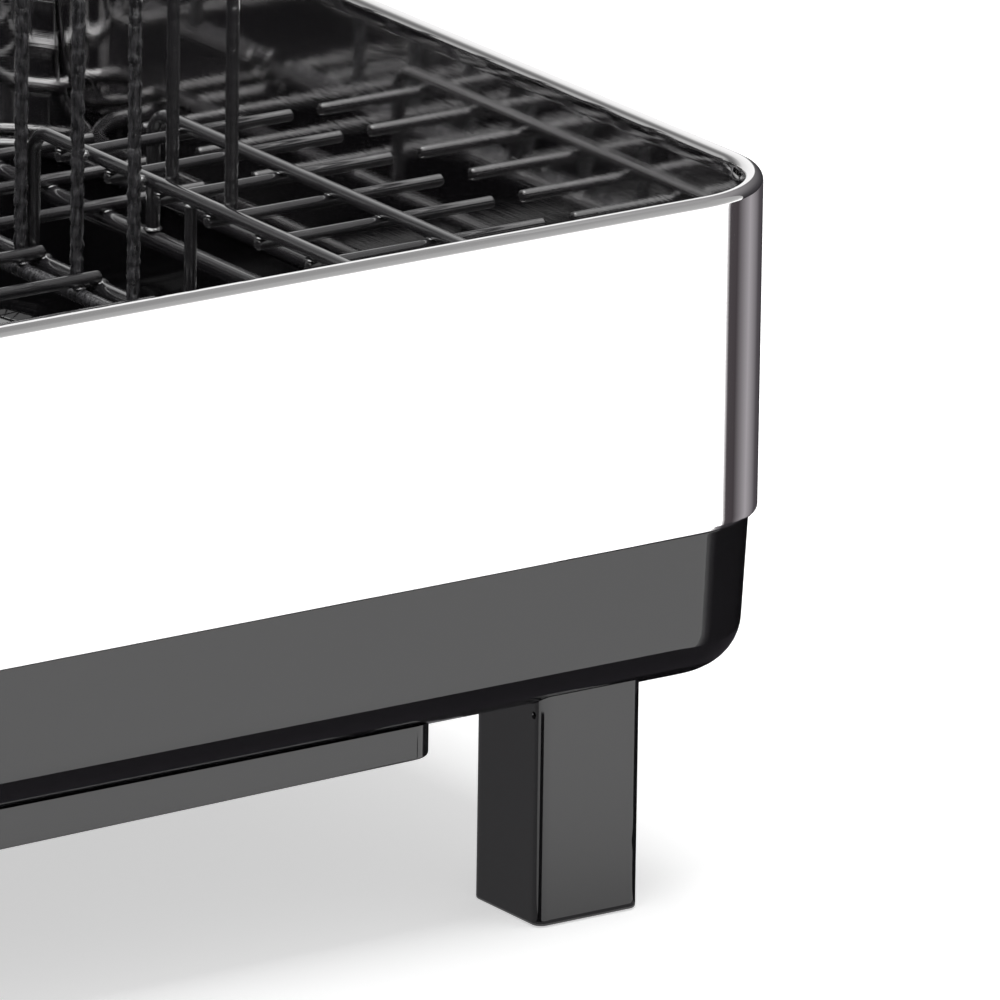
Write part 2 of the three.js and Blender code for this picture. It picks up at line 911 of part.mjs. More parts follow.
// Caddy: a drafted box with a rim, pockets and drain slots
function cutleryCaddy() {

	const x = - halfLength + caddyInset + caddyWidth / 2;
	const y = halfDepth - caddyBackInset - caddyLength / 2;
	const bottomZ = floorTopZ + seatGap;
	const topZ = bottomZ + caddyHeight;
	const halfX = caddyWidth / 2 - caddyRimWidth;
	const halfY = caddyLength / 2 - caddyRimWidth;
	const bodyOutline = ( drawIn ) =>
		roundedOutline( halfX - drawIn, halfY - drawIn, caddyCornerRadius - drawIn, x, y );
	const rimOutline = roundedOutline( caddyWidth / 2, caddyLength / 2, caddyCornerRadius, x, y );
	const outside = stacked( [
		{ outline: bodyOutline( caddyDraft + caddyWall / 2 ), z: bottomZ },
		{ outline: bodyOutline( caddyDraft ), z: bottomZ + caddyWall },
		{ outline: bodyOutline( 0 ), z: topZ - caddyRimDepth },
		{ outline: rimOutline, z: topZ - caddyRimDepth },
		{ outline: rimOutline, z: topZ },
	] );
	const pocketHalfX = halfX - caddyWall;
	const pocketPitch = 2 * ( halfY - caddyWall / 2 ) / caddyPockets;
	const pocketHalfY = ( pocketPitch - caddyWall ) / 2;
	const pocketRadius = caddyCornerRadius - caddyWall;
	const cuts = [];
	for ( let i = 0; i < caddyPockets; i ++ ) {

		const pocketY = y + ( i - ( caddyPockets - 1 ) / 2 ) * pocketPitch;
		const pocket = ( drawIn ) =>
			roundedOutline( pocketHalfX - drawIn, pocketHalfY - drawIn, pocketRadius - drawIn, x, pocketY );
		cuts.push( stacked( [
			{ outline: pocket( caddyDraft ), z: bottomZ + caddyWall },
			{ outline: pocket( 0 ), z: topZ + cutOverrun },
		] ) );
		const slotPitch = 2 * pocketHalfY / ( caddySlotsPerPocket + 1 );
		for ( let slot = 1; slot <= caddySlotsPerPocket; slot ++ ) {

			cuts.push( block(
				pocketHalfX, caddySlotWidth, bottomZ - cutOverrun, bottomZ + caddyWall + cutOverrun,
				x, pocketY - pocketHalfY + slot * slotPitch,
			) );

		}

	}

	return toGeometry( cut( toSolid( outside ), cuts ) );

}

const polishedSteel = { color: 0xd9d9dc, roughness: 0.12, metalness: 1 };
const glossPlastic = { color: 0x1b1a1c, roughness: 0.22, metalness: 0 };
const coatedWire = { color: 0x1f1e20, roughness: 0.35, metalness: 0 };
const blackRubber = { color: 0x141414, roughness: 0.85, metalness: 0 };
const screwSteel = { color: 0xb4b4b6, roughness: 0.35, metalness: 1 };

const drainer = new THREE.Group();

function place( name, geometry, finish, parent ) {

	const mesh = new THREE.Mesh( geometry, new THREE.MeshStandardMaterial( finish ) );
	mesh.name = name;
	parent.add( mesh );

}

const base = new THREE.Group();
const rack = new THREE.Group();
drainer.add( base, rack );

place( 'steel_band', steelBand(), polishedSteel, base );
place( 'drip_tray', dripTray(), glossPlastic, base );
for ( const spot of legPlaces ) {

	place( 'leg_' + spot.name, leg( spot ), glossPlastic, base );
	place( 'foot_pad_' + spot.name, footPad( spot ), blackRubber, base );
	const headTopZ = legScrewSeatZ - seatGap;
	const tipZ = trayBottomZ + legScrewBite;
	place( 'leg_screw_' + spot.name, screw(
		legScrewDiameter, legScrewHead, legScrewHeadThickness, headTopZ, tipZ, spot.x, spot.y,
	), screwSteel, base );

}

place( 'spout_seal', spoutSeal(), blackRubber, base );
place( 'swivel_spout', swivelSpout(), glossPlastic, base );
place( 'spout_pivot_screw', screw(
	pivotDiameter, pivotHeadDiameter, pivotHeadThickness,
	spoutBottomZ - seatGap, outletEndZ + pivotHoleDepth - screwClearance, outletX, 0,
), screwSteel, base );

place( 'rack_ring_left', rackRingHalf( - 1 ), coatedWire, rack );
place( 'rack_ring_right', rackRingHalf( 1 ), coatedWire, rack );
place( 'rack_floor', rackFloor(), coatedWire, rack );
for ( let row = 0; row < tineRowCount; row ++ ) {

	place( 'tine_row_' + ( row + 1 ), tineRow( tineX - tineRowPitch * row ), coatedWire, rack );

}

place( 'shelf_floor', shelfFloor(), coatedWire, rack );
place( 'peg_hoop', pegHoop(), coatedWire, rack );
place( 'cup_shelf', cupShelf(), coatedWire, rack );
place( 'cutlery_caddy', cutleryCaddy(), glossPlastic, rack );

export default drainer;
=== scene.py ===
"""Looks of the dish drainer: a polished steel band on a gloss black drip tray with a coated wire rack.

Lengths in the build functions are millimetres in the drainer's own frame.
They are turned to metres when a mesh is made.
"""

import math

import bpy
from mathutils import Matrix, Vector


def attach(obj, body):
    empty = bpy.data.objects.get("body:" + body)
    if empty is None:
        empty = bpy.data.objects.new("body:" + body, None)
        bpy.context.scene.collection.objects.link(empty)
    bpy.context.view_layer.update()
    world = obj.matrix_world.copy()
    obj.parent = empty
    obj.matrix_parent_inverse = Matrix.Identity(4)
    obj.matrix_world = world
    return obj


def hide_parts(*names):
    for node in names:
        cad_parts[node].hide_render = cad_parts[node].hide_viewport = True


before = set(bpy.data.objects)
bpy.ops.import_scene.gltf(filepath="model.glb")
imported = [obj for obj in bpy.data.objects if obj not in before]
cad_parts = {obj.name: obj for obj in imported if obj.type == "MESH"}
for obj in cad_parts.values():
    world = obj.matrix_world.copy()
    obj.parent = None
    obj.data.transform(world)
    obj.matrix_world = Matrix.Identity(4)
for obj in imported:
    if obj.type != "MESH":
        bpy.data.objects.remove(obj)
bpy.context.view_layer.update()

MM = 0.001

# Drainer
HALF_LENGTH = 245.0
HALF_DEPTH = 162.5
RIM_Z = 169.8
BAND_FOOT_Z = 90.4
BAND_CORNER = 28.4
SHEET = 1.2
RIM_HEM_WIDTH = 4.5
RIM_HEM_DEPTH = 5.0
RIM_HEM_ROUNDING = 2.1
FOOT_HEM_WIDTH = 3.6
FOOT_HEM_DEPTH = 2.0
FOLD_EDGE = 0.35
HEM_CROWN = 1.0

# A level or point this far from an edge keeps the faces beyond it flat
FLAT_HOLD = 1.0

# Drip tray
TRAY_INSET = 2.5
TRAY_DRAFT = 1.3
TRAY_CORNER = 24.5
TRAY_ROUNDING = 12.0
TRAY_WALL = 2.5
SHOULDER_Z = 89.8
FACE_END_Z = 64.5
PAN_BOTTOM_Z = FACE_END_Z - TRAY_ROUNDING
PAN_FLOOR_Z = PAN_BOTTOM_Z + TRAY_WALL
SPIGOT_INSET = 4.0
SPIGOT_WALL = 2.6
SPIGOT_TOP_Z = 99.4
MOULDED_EDGE = 0.5
BLOCK_EDGE = 0.4
BLOCK_CORNER_SHARE = 1.2
BLOCK_CORNER_LEAST = 0.05
LUG_HALF_LENGTH = 7.0
LUG_HALF_WIDTH = 1.2
LUG_LOW_Z = 92.4
LUG_HIGH_Z = 95.4
RIB_HALF_LENGTH = 2.5
RIB_HALF_WIDTH = 1.95
RIB_LOW_Z = 93.4
RIB_HIGH_Z = 99.35
RIB_INSET = 7.25
RIB_SPREAD = 0.6
SCREW_BOSS = [(5.5, PAN_BOTTOM_Z + TRAY_WALL / 2), (5.5, 62.0), (5.2, 62.6), (4.7, 62.8)]

# Sump, channel and outlet
SUMP_HALF_LENGTH = 149.4
SUMP_INSET = 7.8
SUMP_TOP_Z = PAN_FLOOR_Z - 0.3
SUMP_MIDDLE_Z = 44.55
SUMP_FALL = 4.1
SUMP_SLOPE = SUMP_FALL / (2 * SUMP_HALF_LENGTH)
SUMP_CORNER = 6.0
SUMP_EDGE = 0.8
SUMP_LIP = 1.0
CHANNEL_HALF_WIDTH = 20.0
CHANNEL_Z = 41.5
CHANNEL_EDGE = 0.6 * SUMP_EDGE
OUTLET_X = -199.0
OUTLET_BORE_RADIUS = 11.0
OUTLET_RADIUS = 13.5
OUTLET_END_Z = 33.5
BORE_BEVEL = 0.6
DRAIN_BEVEL = 0.9
PIVOT_POST_RADIUS = 4.0
PIVOT_BRIDGE_HALF_LENGTH = 12.2
PIVOT_BRIDGE_HALF_WIDTH = 1.5

# Legs
LEG_HALF_X = 13.25
LEG_HALF_Y = 12.5
LEG_FLARE = 0.9
LEG_X = 191.65
LEG_Y = 142.2
LEG_ROUNDING = 2.6
PAD_ROUNDING = 4.2
LEG_FOOT_Z = 0.4
LEG_FOOT_EDGE = 0.35
LEG_SEAT_GAP = 0.12
RECESS_CORNER = 2.0
RECESS_FIT = 0.3
RECESS_HEADROOM = 0.4
PAD_HEIGHT = 3.0
PAD_MARGIN = 3.0
PAD_EDGE = 0.5
PAD_BEVEL = 0.3
PAD_HOLLOW_INSET = 2.1
PAD_HOLLOW = [(6.0, 0.35), (3.2, 0.35), (2.9, 0.05), (2.6, 0.0)]
DIMPLE_INSET = 2.9
DIMPLE_Z = PAN_BOTTOM_Z - 1.8
DIMPLE_PROFILE = [(-1.3, 0.3), (-1.1, 0.6), (-0.1, 0.8), (0.0, 0.9), (0.6, 1.5)]
LEG_PLACES = [
    ("front_left", -1, -1), ("front_right", 1, -1), ("back_left", -1, 1), ("back_right", 1, 1),
]

# Screws
SCREW_SHANK = 4.0
HEAD_PROFILE = [(0.18, 0.0), (0.36, 0.12), (0.46, 0.42), (0.5, 0.75)]
THREAD_START = 0.4
THREAD_PITCH = 0.7
THREAD_ROOT = 0.84
TIP_PROFILE = [(0.8, -1.0), (0.24, 0.0)]
HEAD_EDGE = 0.15
CROSS_REACH = 0.24
CROSS_EDGE = 0.2
CROSS_HALF_WIDTH = 0.45
CROSS_DEPTH = 1.1
LEG_SCREW = {"head": 8.5, "head_height": 3.0, "head_top_z": 43.2, "tip_z": 59.5}
PIVOT_SCREW = {"head": 9.0, "head_height": 2.5, "head_top_z": 27.0, "tip_z": 40.2}

# Wires
RING_INSET = 7.2
RING_CORNER = 22.0
RING_Z = 101.7
RING_WIRE = 4.0
GRID_RAIL = 4.5
GRID_RAIL_Z = 106.25
TINE_RAIL = 3.6
TINE_RAIL_Z = 105.8
FLOOR_WIRE = 3.2
FLOOR_WIRE_Z = 109.5
FLOOR_WIRE_AHEAD = 3.6
TINE = 3.4
TINE_TOP_Z = 192.5
TINE_PITCH = 24.0
TINE_COUNT = 6
FIRST_TINE_INSET = 168.3
FRONT_WIRES = 6
FIRST_ROW_X = 171.6
ROW_PITCH = 80.0
ROW_COUNT = 4
TINE_ROWS = [FIRST_ROW_X - ROW_PITCH * row for row in range(ROW_COUNT)]
RAIL_END_INSET = 5.6
WIRE_END_INSET = 8.0
NEAR_GRID_RAIL_X = 175.85
FLOOR_SPLIT_X = 178.2
SPLIT_LAP = 1.0
TINE_SINK = 0.6
PROP_SINK = 0.3
END_DOME = 0.55
END_DOME_PROFILE = [(0.0, 0.35), (0.18, 0.7), (0.5, 0.92), (1.0, 1.0)]

# Welds, each by its radius and half its height
FLOOR_WELD = (2.0, 0.8)
TINE_RAIL_WELD = (1.8, 0.7)
TINE_WELD = (2.3, 1.7)
PROP_WELD = (2.1, 0.9)
PEG_WELD = (2.2, 1.5)
TINE_HOOP_WELD = (1.9, 1.3)
SHELF_WELD = (1.9, 0.6)
HOOP_WELD = (2.4, 0.9)
FLOOR_WELD_Z = GRID_RAIL_Z + GRID_RAIL / 2 - 0.3
TINE_RAIL_WELD_Z = TINE_RAIL_Z + TINE_RAIL / 2 + 0.1
TINE_WELD_Z = TINE_RAIL_Z + 0.3
SHELF_WELD_RISE = 0.15
WELD_ROUNDS = 6
WELD_SIDES = 12

# Sag of the dipped coating: how far in mm, or by what share of the radius, then how fast it
# changes along the wire and how fast from wire to wire
DIP_STEP = 0.7
DIP_SHARE = 0.93
SWELLS = ((0.05, 1.9, 1.0), (0.035, 3.1, 1.7))
SWAYS = ((0.1, 1.3, 2.3), (0.05, 2.7, 1.0))
DRIFT, DRIFT_PACE = 0.1, 1.1
SEED_STEP = 3.7
PEG_UNEVENNESS = 0.3
DOME_RISES = (0.45, 0.75, 0.92, 1.0)
DOME_SHARE = 0.92
DOME_TIP = 0.02

# Cup shelf
HOOP_WIRE = 3.4
HOOP_BEND = 6.0
HOOP_FRONT_INSET = 27.0
HOOP_BACK_INSET = 216.6
HOOP_FOOT_Z = 108.8
NEAR_HOOP_X = 175.3
NEAR_RAIL_Z = 138.5
FAR_HOOP_X = 209.0
FAR_RAIL_Z = 137.6
SHELF_WIRE = 3.0
SHELF_WIRE_Z = 135.0
SHELF_WIRE_PITCH = 21.0
SHELF_WIRE_COUNT = 9
FIRST_SHELF_WIRE_INSET = 36.5
SHELF_END_X = 240.0
PROP_INSETS = (88.0, 150.0)
PEG_INSETS = (137.5, 162.2)
PEG_X = 178.1

# Cutlery caddy
CADDY_X = -198.0
CADDY_Y = 42.5
CADDY_HALF_WIDTH = 38.0
CADDY_HALF_LENGTH = 95.0
CADDY_BOTTOM_Z = 111.4
CADDY_TOP_Z = 203.4
CADDY_CORNER = 8.0
CADDY_RIM_WIDTH = 2.5
CADDY_RIM_DEPTH = 3.0
CADDY_DRAFT = 1.5
CADDY_WALL = 2.0
CADDY_POCKETS = 3
CADDY_SLOTS = 3
CADDY_SLOT = 4.0
CADDY_FOOT_ROUNDING = 2.0
CADDY_RIM_LOW_EDGE = 0.7
CADDY_RIM_EDGE = 1.1
CADDY_RIM_DRAFT = 0.02
POCKET_ROUNDING = 2.5
POCKET_MOUTH = [(0.0, -0.6), (0.25, -0.15), (0.5, 0.02), (0.5, 2.0)]
SLOT_END_FLAT = 0.1
SLOT_CUT = (-1.0, 4.0)

# Spout
SPOUT_TOP_Z = 39.3
SPOUT_BOTTOM_Z = 27.3
SPOUT_FLOOR_Z = 29.5
SPOUT_BORE_RADIUS = 14.9
SPOUT_WALL = 3.0
SPOUT_REACH = 82.0
SPOUT_ARM_WIDTH = 25.0
SPOUT_ARM_TOP_Z = 37.3
SPOUT_EDGE = 0.9
SPOUT_FOOT_EDGE = 1.2
SPOUT_FOOT_BEND = 0.35
SPOUT_FLOOR_EDGE = 1.0
TROUGH_RISE = 0.02
SPOUT_SCREW_HOLE_RADIUS = 2.3
SEAL_LOW_Z = 39.6
SEAL_HIGH_Z = 41.2
SEAL_FIT = 0.3
SEAL_EDGE = 0.3
SEAL_LIP = 1.6
SEAL_HOLLOW = 0.35

# Cutting shapes pass the face they cut by this much, and ends that would share a plane are set apart
CUT_PAST = 2.0
CUT_STEP = 0.1

# Fineness of the meshes
CORNER_STEPS = 20
WIRE_SIDES = 16
TURNED_SIDES = 48
SMALL_TURNED_SIDES = 32
SPOUT_SIDES = 64
SMOOTH_BELOW = 40.0
TRAY_SMOOTH_BELOW = 32.0
BAND_SMOOTH_BELOW = 30.0
FLAT_FACE_WEIGHT = 90


# Meshes

def new_piece(name, points, faces, body, slot, nodes, material, smooth_below=SMOOTH_BELOW):
    """A piece from points in millimetres, smooth below an angle and flat where the faces are flat."""
    mesh = bpy.data.meshes.new(name)
    mesh.from_pydata([Vector(point) * MM for point in points], [], faces)
    mesh.validate()
    return dress(bpy.data.objects.new(name, mesh), body, nodes, material, smooth_below)


def dress(piece, body, nodes, material, smooth_below):
    """Gives a piece its material and shading, and says what it rides on and replaces."""
    bpy.context.scene.collection.objects.link(piece)
    piece.data.materials.clear()
    piece.data.materials.append(material)
    piece.data.shade_smooth()
    piece.data.set_sharp_from_angle(angle=math.radians(smooth_below))
    flat = piece.modifiers.new("flat_faces_stay_flat", "WEIGHTED_NORMAL")
    flat.keep_sharp = True
    flat.weight = FLAT_FACE_WEIGHT
    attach(piece, body)
    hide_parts(*nodes)
    return piece


def adopt(name, made, body, nodes, material, smooth_below=SMOOTH_BELOW):
    """A cut and joined shape becomes a named piece."""
    bpy.context.scene.collection.objects.unlink(made)
    made.name = name
    made.data.name = name
    return dress(made, body, nodes, material, smooth_below)


def rounded_outline(half_x, half_y, radius, centre_x=0.0, centre_y=0.0, steps=CORNER_STEPS):
    """A rounded rectangle, anticlockwise, with a point just off each arc to keep its sides flat."""
    points = []
    keep = min(FLAT_HOLD, (half_x - radius) / 2, (half_y - radius) / 2)
    for corner in range(4):
        sign_x = 1 if corner in (0, 3) else -1
        sign_y = 1 if corner < 2 else -1
        middle = Vector((centre_x + sign_x * (half_x - radius), centre_y + sign_y * (half_y - radius)))
        arc = []
        for step in range(steps + 1):
            angle = (corner + step / steps) * math.pi / 2
            arc.append(middle + radius * Vector((math.cos(angle), math.sin(angle))))
        before = Vector((math.sin(corner * math.pi / 2), -math.cos(corner * math.pi / 2)))
        after = Vector((-math.sin((corner + 1) * math.pi / 2), math.cos((corner + 1) * math.pi / 2)))
        points.append(arc[0] + keep * before)
        points.extend(arc)
        points.append(arc[-1] + keep * after)
    return points


def inset_outline(inset, corner):
    """An outline that runs this far inside the drainer's own."""
    return rounded_outline(HALF_LENGTH - inset, HALF_DEPTH - inset, corner)


def quarter(steps):
    """Sine and cosine from nothing to a quarter turn."""
    return [(math.sin(i / steps * math.pi / 2), math.cos(i / steps * math.pi / 2)) for i in range(steps + 1)]


def loft(levels, closed=False):
    """Points and faces through outlines of one length, capped unless the last joins the first."""
    count = len(levels[0])
    points = [tuple(point) for level in levels for point in level]
    faces = []
    for level in range(len(levels) if closed else len(levels) - 1):
        low = level * count
        high = (level + 1) % len(levels) * count
        for i in range(count):
            j = (i + 1) % count
            faces.append((low + i, low + j, high + j, high + i))
    if not closed:
        faces.append(tuple(reversed(range(count))))
        top = (len(levels) - 1) * count
        faces.append(tuple(range(top, top + count)))
    return points, faces


def level(outline, z, fall=0.0):
    """An outline at a height, which can rise along the drainer."""
    return [(point.x, point.y, z + fall * point.x) for point in outline]


def foot_levels(outline, edge, low_z, steps, fall=0.0):
    """Levels up a rounded lower edge, of an outline that is a function of how far it is drawn in."""
    levels = []
    for sine, cosine in quarter(steps):
        levels.append(level(outline(edge * (1 - sine)), low_z + edge * (1 - cosine), fall))
    return levels


def rim_levels(outline, edge, high_z, steps):
    """Levels up a rounded upper edge."""
    levels = []
    for sine, cosine in quarter(steps):
        levels.append(level(outline(edge * (1 - cosine)), high_z - edge * (1 - sine)))
    return levels


def shape(points, faces):
    """A loose object for cutting and joining, in metres."""
    mesh = bpy.data.meshes.new("shape")
    mesh.from_pydata([Vector(point) * MM for point in points], [], faces)
    made = bpy.data.objects.new("shape", mesh)
    bpy.context.scene.collection.objects.link(made)
    return made


def combined(first, others, operation):
    """One mesh from a solid and others that are joined to it or cut from it. The others are used up."""
    group = bpy.data.collections.new("tools")
    for other in others:
        bpy.context.scene.collection.objects.unlink(other)
        group.objects.link(other)
    step = first.modifiers.new("combine", "BOOLEAN")
    step.operation = operation
    step.operand_type = "COLLECTION"
    step.collection = group
    step.solver = "EXACT"
    bpy.context.view_layer.update()
    graph = bpy.context.evaluated_depsgraph_get()
    mesh = bpy.data.meshes.new_from_object(first.evaluated_get(graph))
    first.modifiers.clear()
    first.data = mesh
    for other in others:
        bpy.data.objects.remove(other)
    bpy.data.collections.remove(group)
    return first


def circle(sides):
    """Cosine and sine of each corner of a many-sided circle."""
    angles = [side / sides * 2 * math.pi for side in range(sides)]
    return [(math.cos(angle), math.sin(angle)) for angle in angles]


def turned(profile, x, y, sides=TURNED_SIDES, closed=False):
    """A turned solid. Both ends are capped unless the profile closes on itself."""
    levels = []
    for radius, z in profile:
        levels.append([(x + radius * cosine, y + radius * sine, z) for cosine, sine in circle(sides)])
    return loft(levels, closed)


def merged(parts):
    """Several parts as the points and faces of one mesh."""
    points, faces = [], []
    for part_points, part_faces in parts:
        start = len(points)
        points.extend(part_points)
        faces.extend(tuple(start + i for i in face) for face in part_faces)
    return points, faces


# Wires

def bent_line(corners, bend, steps=8):
    """A wire's centre line with its corners rounded to the bend radius."""
    corners = [Vector(corner) for corner in corners]
    line = [corners[0]]
    for before, corner, after in zip(corners, corners[1:], corners[2:]):
        back = (before - corner).normalized()
        ahead = (after - corner).normalized()
        half = back.angle(ahead) / 2
        centre = corner + (back + ahead).normalized() * bend / math.sin(half)
        start = corner + back * bend / math.tan(half) - centre
        end = corner + ahead * bend / math.tan(half) - centre
        for step in range(steps + 1):
            line.append(centre + start.slerp(end, step / steps).normalized() * bend)
    line.append(corners[-1])
    return line


def swept(line, radii, closed=False):
    """A round wire along a line, with a radius at each point. Open wires end in a dome."""
    count = len(line)
    tangents = []
    for i, point in enumerate(line):
        before = line[(i - 1) % count] if closed or i else point
        after = line[(i + 1) % count] if closed or i < count - 1 else point
        tangents.append((after - before).normalized())
    side = tangents[0].orthogonal().normalized()
    levels = []
    for point, tangent, radius in zip(line, tangents, radii):
        side = (side - tangent * side.dot(tangent)).normalized()
        up = tangent.cross(side)
        levels.append([point + radius * (cosine * side + sine * up) for cosine, sine in circle(WIRE_SIDES)])
    return loft(levels, closed)


def wire(corners, diameter, bend=0.0):
    """A wire between its end corners, cropped to a small dome at each end."""
    line = bent_line(corners, bend)
    radius = diameter / 2
    first = (line[1] - line[0]).normalized()
    last = (line[-1] - line[-2]).normalized()
    dome = radius * END_DOME
    start = [(line[0] + first * dome * reach, radius * share) for reach, share in END_DOME_PROFILE]
    end = [(line[-1] - last * dome * reach, radius * share) for reach, share in reversed(END_DOME_PROFILE)]
    whole = start + [(point, radius) for point in line[1:-1]] + end
    return swept([point for point, _ in whole], [size for _, size in whole])


def weld(x, y, z, size):
    """The low web of coating round a resistance weld, an oval bead between two crossed wires."""
    radius, half_height = size
    profile = []
    for step in range(1, WELD_ROUNDS):
        angle = math.pi * step / WELD_ROUNDS
        profile.append((radius * math.sin(angle), z - half_height * math.cos(angle)))
    return turned(profile, x, y, WELD_SIDES)


def from_front(inset):
    """Where in y something lies that is this far behind the drainer's front."""
    return inset - HALF_DEPTH


def floor_wire_y(k):
    """Each floor wire lies just ahead of a tine, or of where one would stand."""
    return from_front(FIRST_TINE_INSET + TINE_PITCH * k) - FLOOR_WIRE_AHEAD


def runs_past_shelf(k):
    """Whether a floor wire lies beside the cup shelf and so runs on to the drainer's end."""
    return not HOOP_FRONT_INSET < FIRST_TINE_INSET + TINE_PITCH * k < HOOP_BACK_INSET


RAIL_FRONT_Y = from_front(RAIL_END_INSET)


def rail(x, z, diameter):
    """A straight wire from the front of the rack to its back."""
    return wire([(x, RAIL_FRONT_Y, z), (x, -RAIL_FRONT_Y, z)], diameter)


def ring_parts():
    """The frame wire round the rack."""
    outline = inset_outline(RING_INSET, RING_CORNER)
    line = [Vector((point.x, point.y, RING_Z)) for point in outline]
    return [swept(line, [RING_WIRE / 2] * len(line), closed=True)]


def floor_parts():
    """The floor's rails, and its wires with a weld at each crossing."""
    rails = [NEAR_GRID_RAIL_X] + [FIRST_ROW_X - ROW_PITCH * (i + 0.5) for i in range(ROW_COUNT + 1)]
    parts = [rail(x, GRID_RAIL_Z, GRID_RAIL) for x in rails]
    for k in range(-FRONT_WIRES, TINE_COUNT):
        y = floor_wire_y(k)
        right_x = FLOOR_SPLIT_X if runs_past_shelf(k) else NEAR_GRID_RAIL_X
        ends = [(WIRE_END_INSET - HALF_LENGTH, y, FLOOR_WIRE_Z), (right_x, y, FLOOR_WIRE_Z)]
        parts.append(wire(ends, FLOOR_WIRE))
        parts += [weld(x, y, FLOOR_WELD_Z, FLOOR_WELD) for x in rails]
    return parts


def shelf_floor_parts():
    """The floor under the cup shelf's far end."""
    parts = [rail(FAR_HOOP_X, GRID_RAIL_Z, GRID_RAIL)]
    for k in filter(runs_past_shelf, range(-FRONT_WIRES, TINE_COUNT)):
        y = floor_wire_y(k)
        ends = [(FLOOR_SPLIT_X - SPLIT_LAP, y, FLOOR_WIRE_Z), (HALF_LENGTH - WIRE_END_INSET, y, FLOOR_WIRE_Z)]
        parts.append(wire(ends, FLOOR_WIRE))
        parts.append(weld(FAR_HOOP_X, y, FLOOR_WELD_Z, FLOOR_WELD))
    return parts


def tine_parts(x):
    """Tines are dipped, so the coating runs down them in uneven swells before it sets."""
    parts = [rail(x - TINE / 2, TINE_RAIL_Z, TINE_RAIL)]
    for k in range(TINE_COUNT):
        y = from_front(FIRST_TINE_INSET + TINE_PITCH * k)
        parts.append(dipped_upright(x, y, TINE_RAIL_Z - TINE_SINK, TINE, seed=x + SEED_STEP * k))
        parts.append(weld(x - TINE / 2, y - FLOOR_WIRE_AHEAD, TINE_RAIL_WELD_Z, TINE_RAIL_WELD))
        parts.append(weld(x - TINE / 4, y, TINE_WELD_Z, TINE_WELD))
    return parts


def waves(kinds, z, seed):
    """The sum of slow waves along a wire, which differ from wire to wire."""
    return sum(size * math.sin(pace * z + shift * seed) for size, pace, shift in kinds)


def dipped_upright(x, y, foot_z, diameter, seed, unevenness=1.0):
    """An upright wire in its sagged coating, with a dome on top."""
    radius = diameter / 2
    steps = int((TINE_TOP_Z - foot_z) / DIP_STEP)
    line, radii = [], []
    for i in range(steps + 1):
        z = foot_z + (TINE_TOP_Z - radius - foot_z) * i / steps
        drift = DRIFT * math.cos(DRIFT_PACE * z + seed)
        line.append(Vector((x + unevenness * waves(SWAYS, z, seed), y + unevenness * drift, z)))
        radii.append(radius * (DIP_SHARE + unevenness * waves(SWELLS, z, seed)))
    end = line[-1]
    for rise in DOME_RISES:
        line.append(Vector((end.x, end.y, TINE_TOP_Z - radius + radius * rise)))
        radii.append(radius * DOME_SHARE * math.sqrt(max(1 + DOME_TIP - rise * rise, DOME_TIP)))
    return swept(line, radii)


def hoop_parts(x, rail_z):
    """An upright hoop with a weld at each foot."""
    front_y = from_front(HOOP_FRONT_INSET)
    back_y = from_front(HOOP_BACK_INSET)
    corners = [(x, front_y, HOOP_FOOT_Z), (x, front_y, rail_z), (x, back_y, rail_z), (x, back_y, HOOP_FOOT_Z)]
    feet = [weld(x, y, HOOP_FOOT_Z, HOOP_WELD) for y in (front_y, back_y)]
    return [wire(corners, HOOP_WIRE, HOOP_BEND)] + feet


def peg_hoop_parts():
    """The near hoop, with its props below and its two pegs above."""
    parts = hoop_parts(NEAR_HOOP_X, NEAR_RAIL_Z)
    rail_foot_z = NEAR_RAIL_Z - HOOP_WIRE / 2
    for inset in PROP_INSETS:
        y = from_front(inset)
        ends = [(NEAR_HOOP_X, y, HOOP_FOOT_Z), (NEAR_HOOP_X, y, NEAR_RAIL_Z - PROP_SINK)]
        parts.append(wire(ends, SHELF_WIRE))
        parts.append(weld(NEAR_HOOP_X, y, rail_foot_z, PROP_WELD))
    for inset in PEG_INSETS:
        y = from_front(inset)
        parts.append(dipped_upright(PEG_X, y, rail_foot_z, HOOP_WIRE, inset, PEG_UNEVENNESS))
        parts.append(weld((NEAR_HOOP_X + PEG_X) / 2, y, NEAR_RAIL_Z, PEG_WELD))
    for k in range(2):
        y = from_front(FIRST_TINE_INSET + TINE_PITCH * k)
        parts.append(weld((NEAR_HOOP_X + FIRST_ROW_X) / 2, y, NEAR_RAIL_Z, TINE_HOOP_WELD))
    return parts


def cup_shelf_parts():
    """The far hoop and the wires that lie across both hoops."""
    parts = hoop_parts(FAR_HOOP_X, FAR_RAIL_Z)
    weld_z = SHELF_WIRE_Z + SHELF_WIRE / 2
    for i in range(SHELF_WIRE_COUNT):
        y = from_front(FIRST_SHELF_WIRE_INSET + SHELF_WIRE_PITCH * i)
        ends = [(NEAR_HOOP_X - HOOP_WIRE / 2, y, SHELF_WIRE_Z), (SHELF_END_X, y, SHELF_WIRE_Z)]
        parts.append(wire(ends, SHELF_WIRE))
        parts.append(weld(FAR_HOOP_X, y, weld_z, SHELF_WELD))
        parts.append(weld(NEAR_HOOP_X, y, weld_z + SHELF_WELD_RISE, SHELF_WELD))
    return parts


# Band

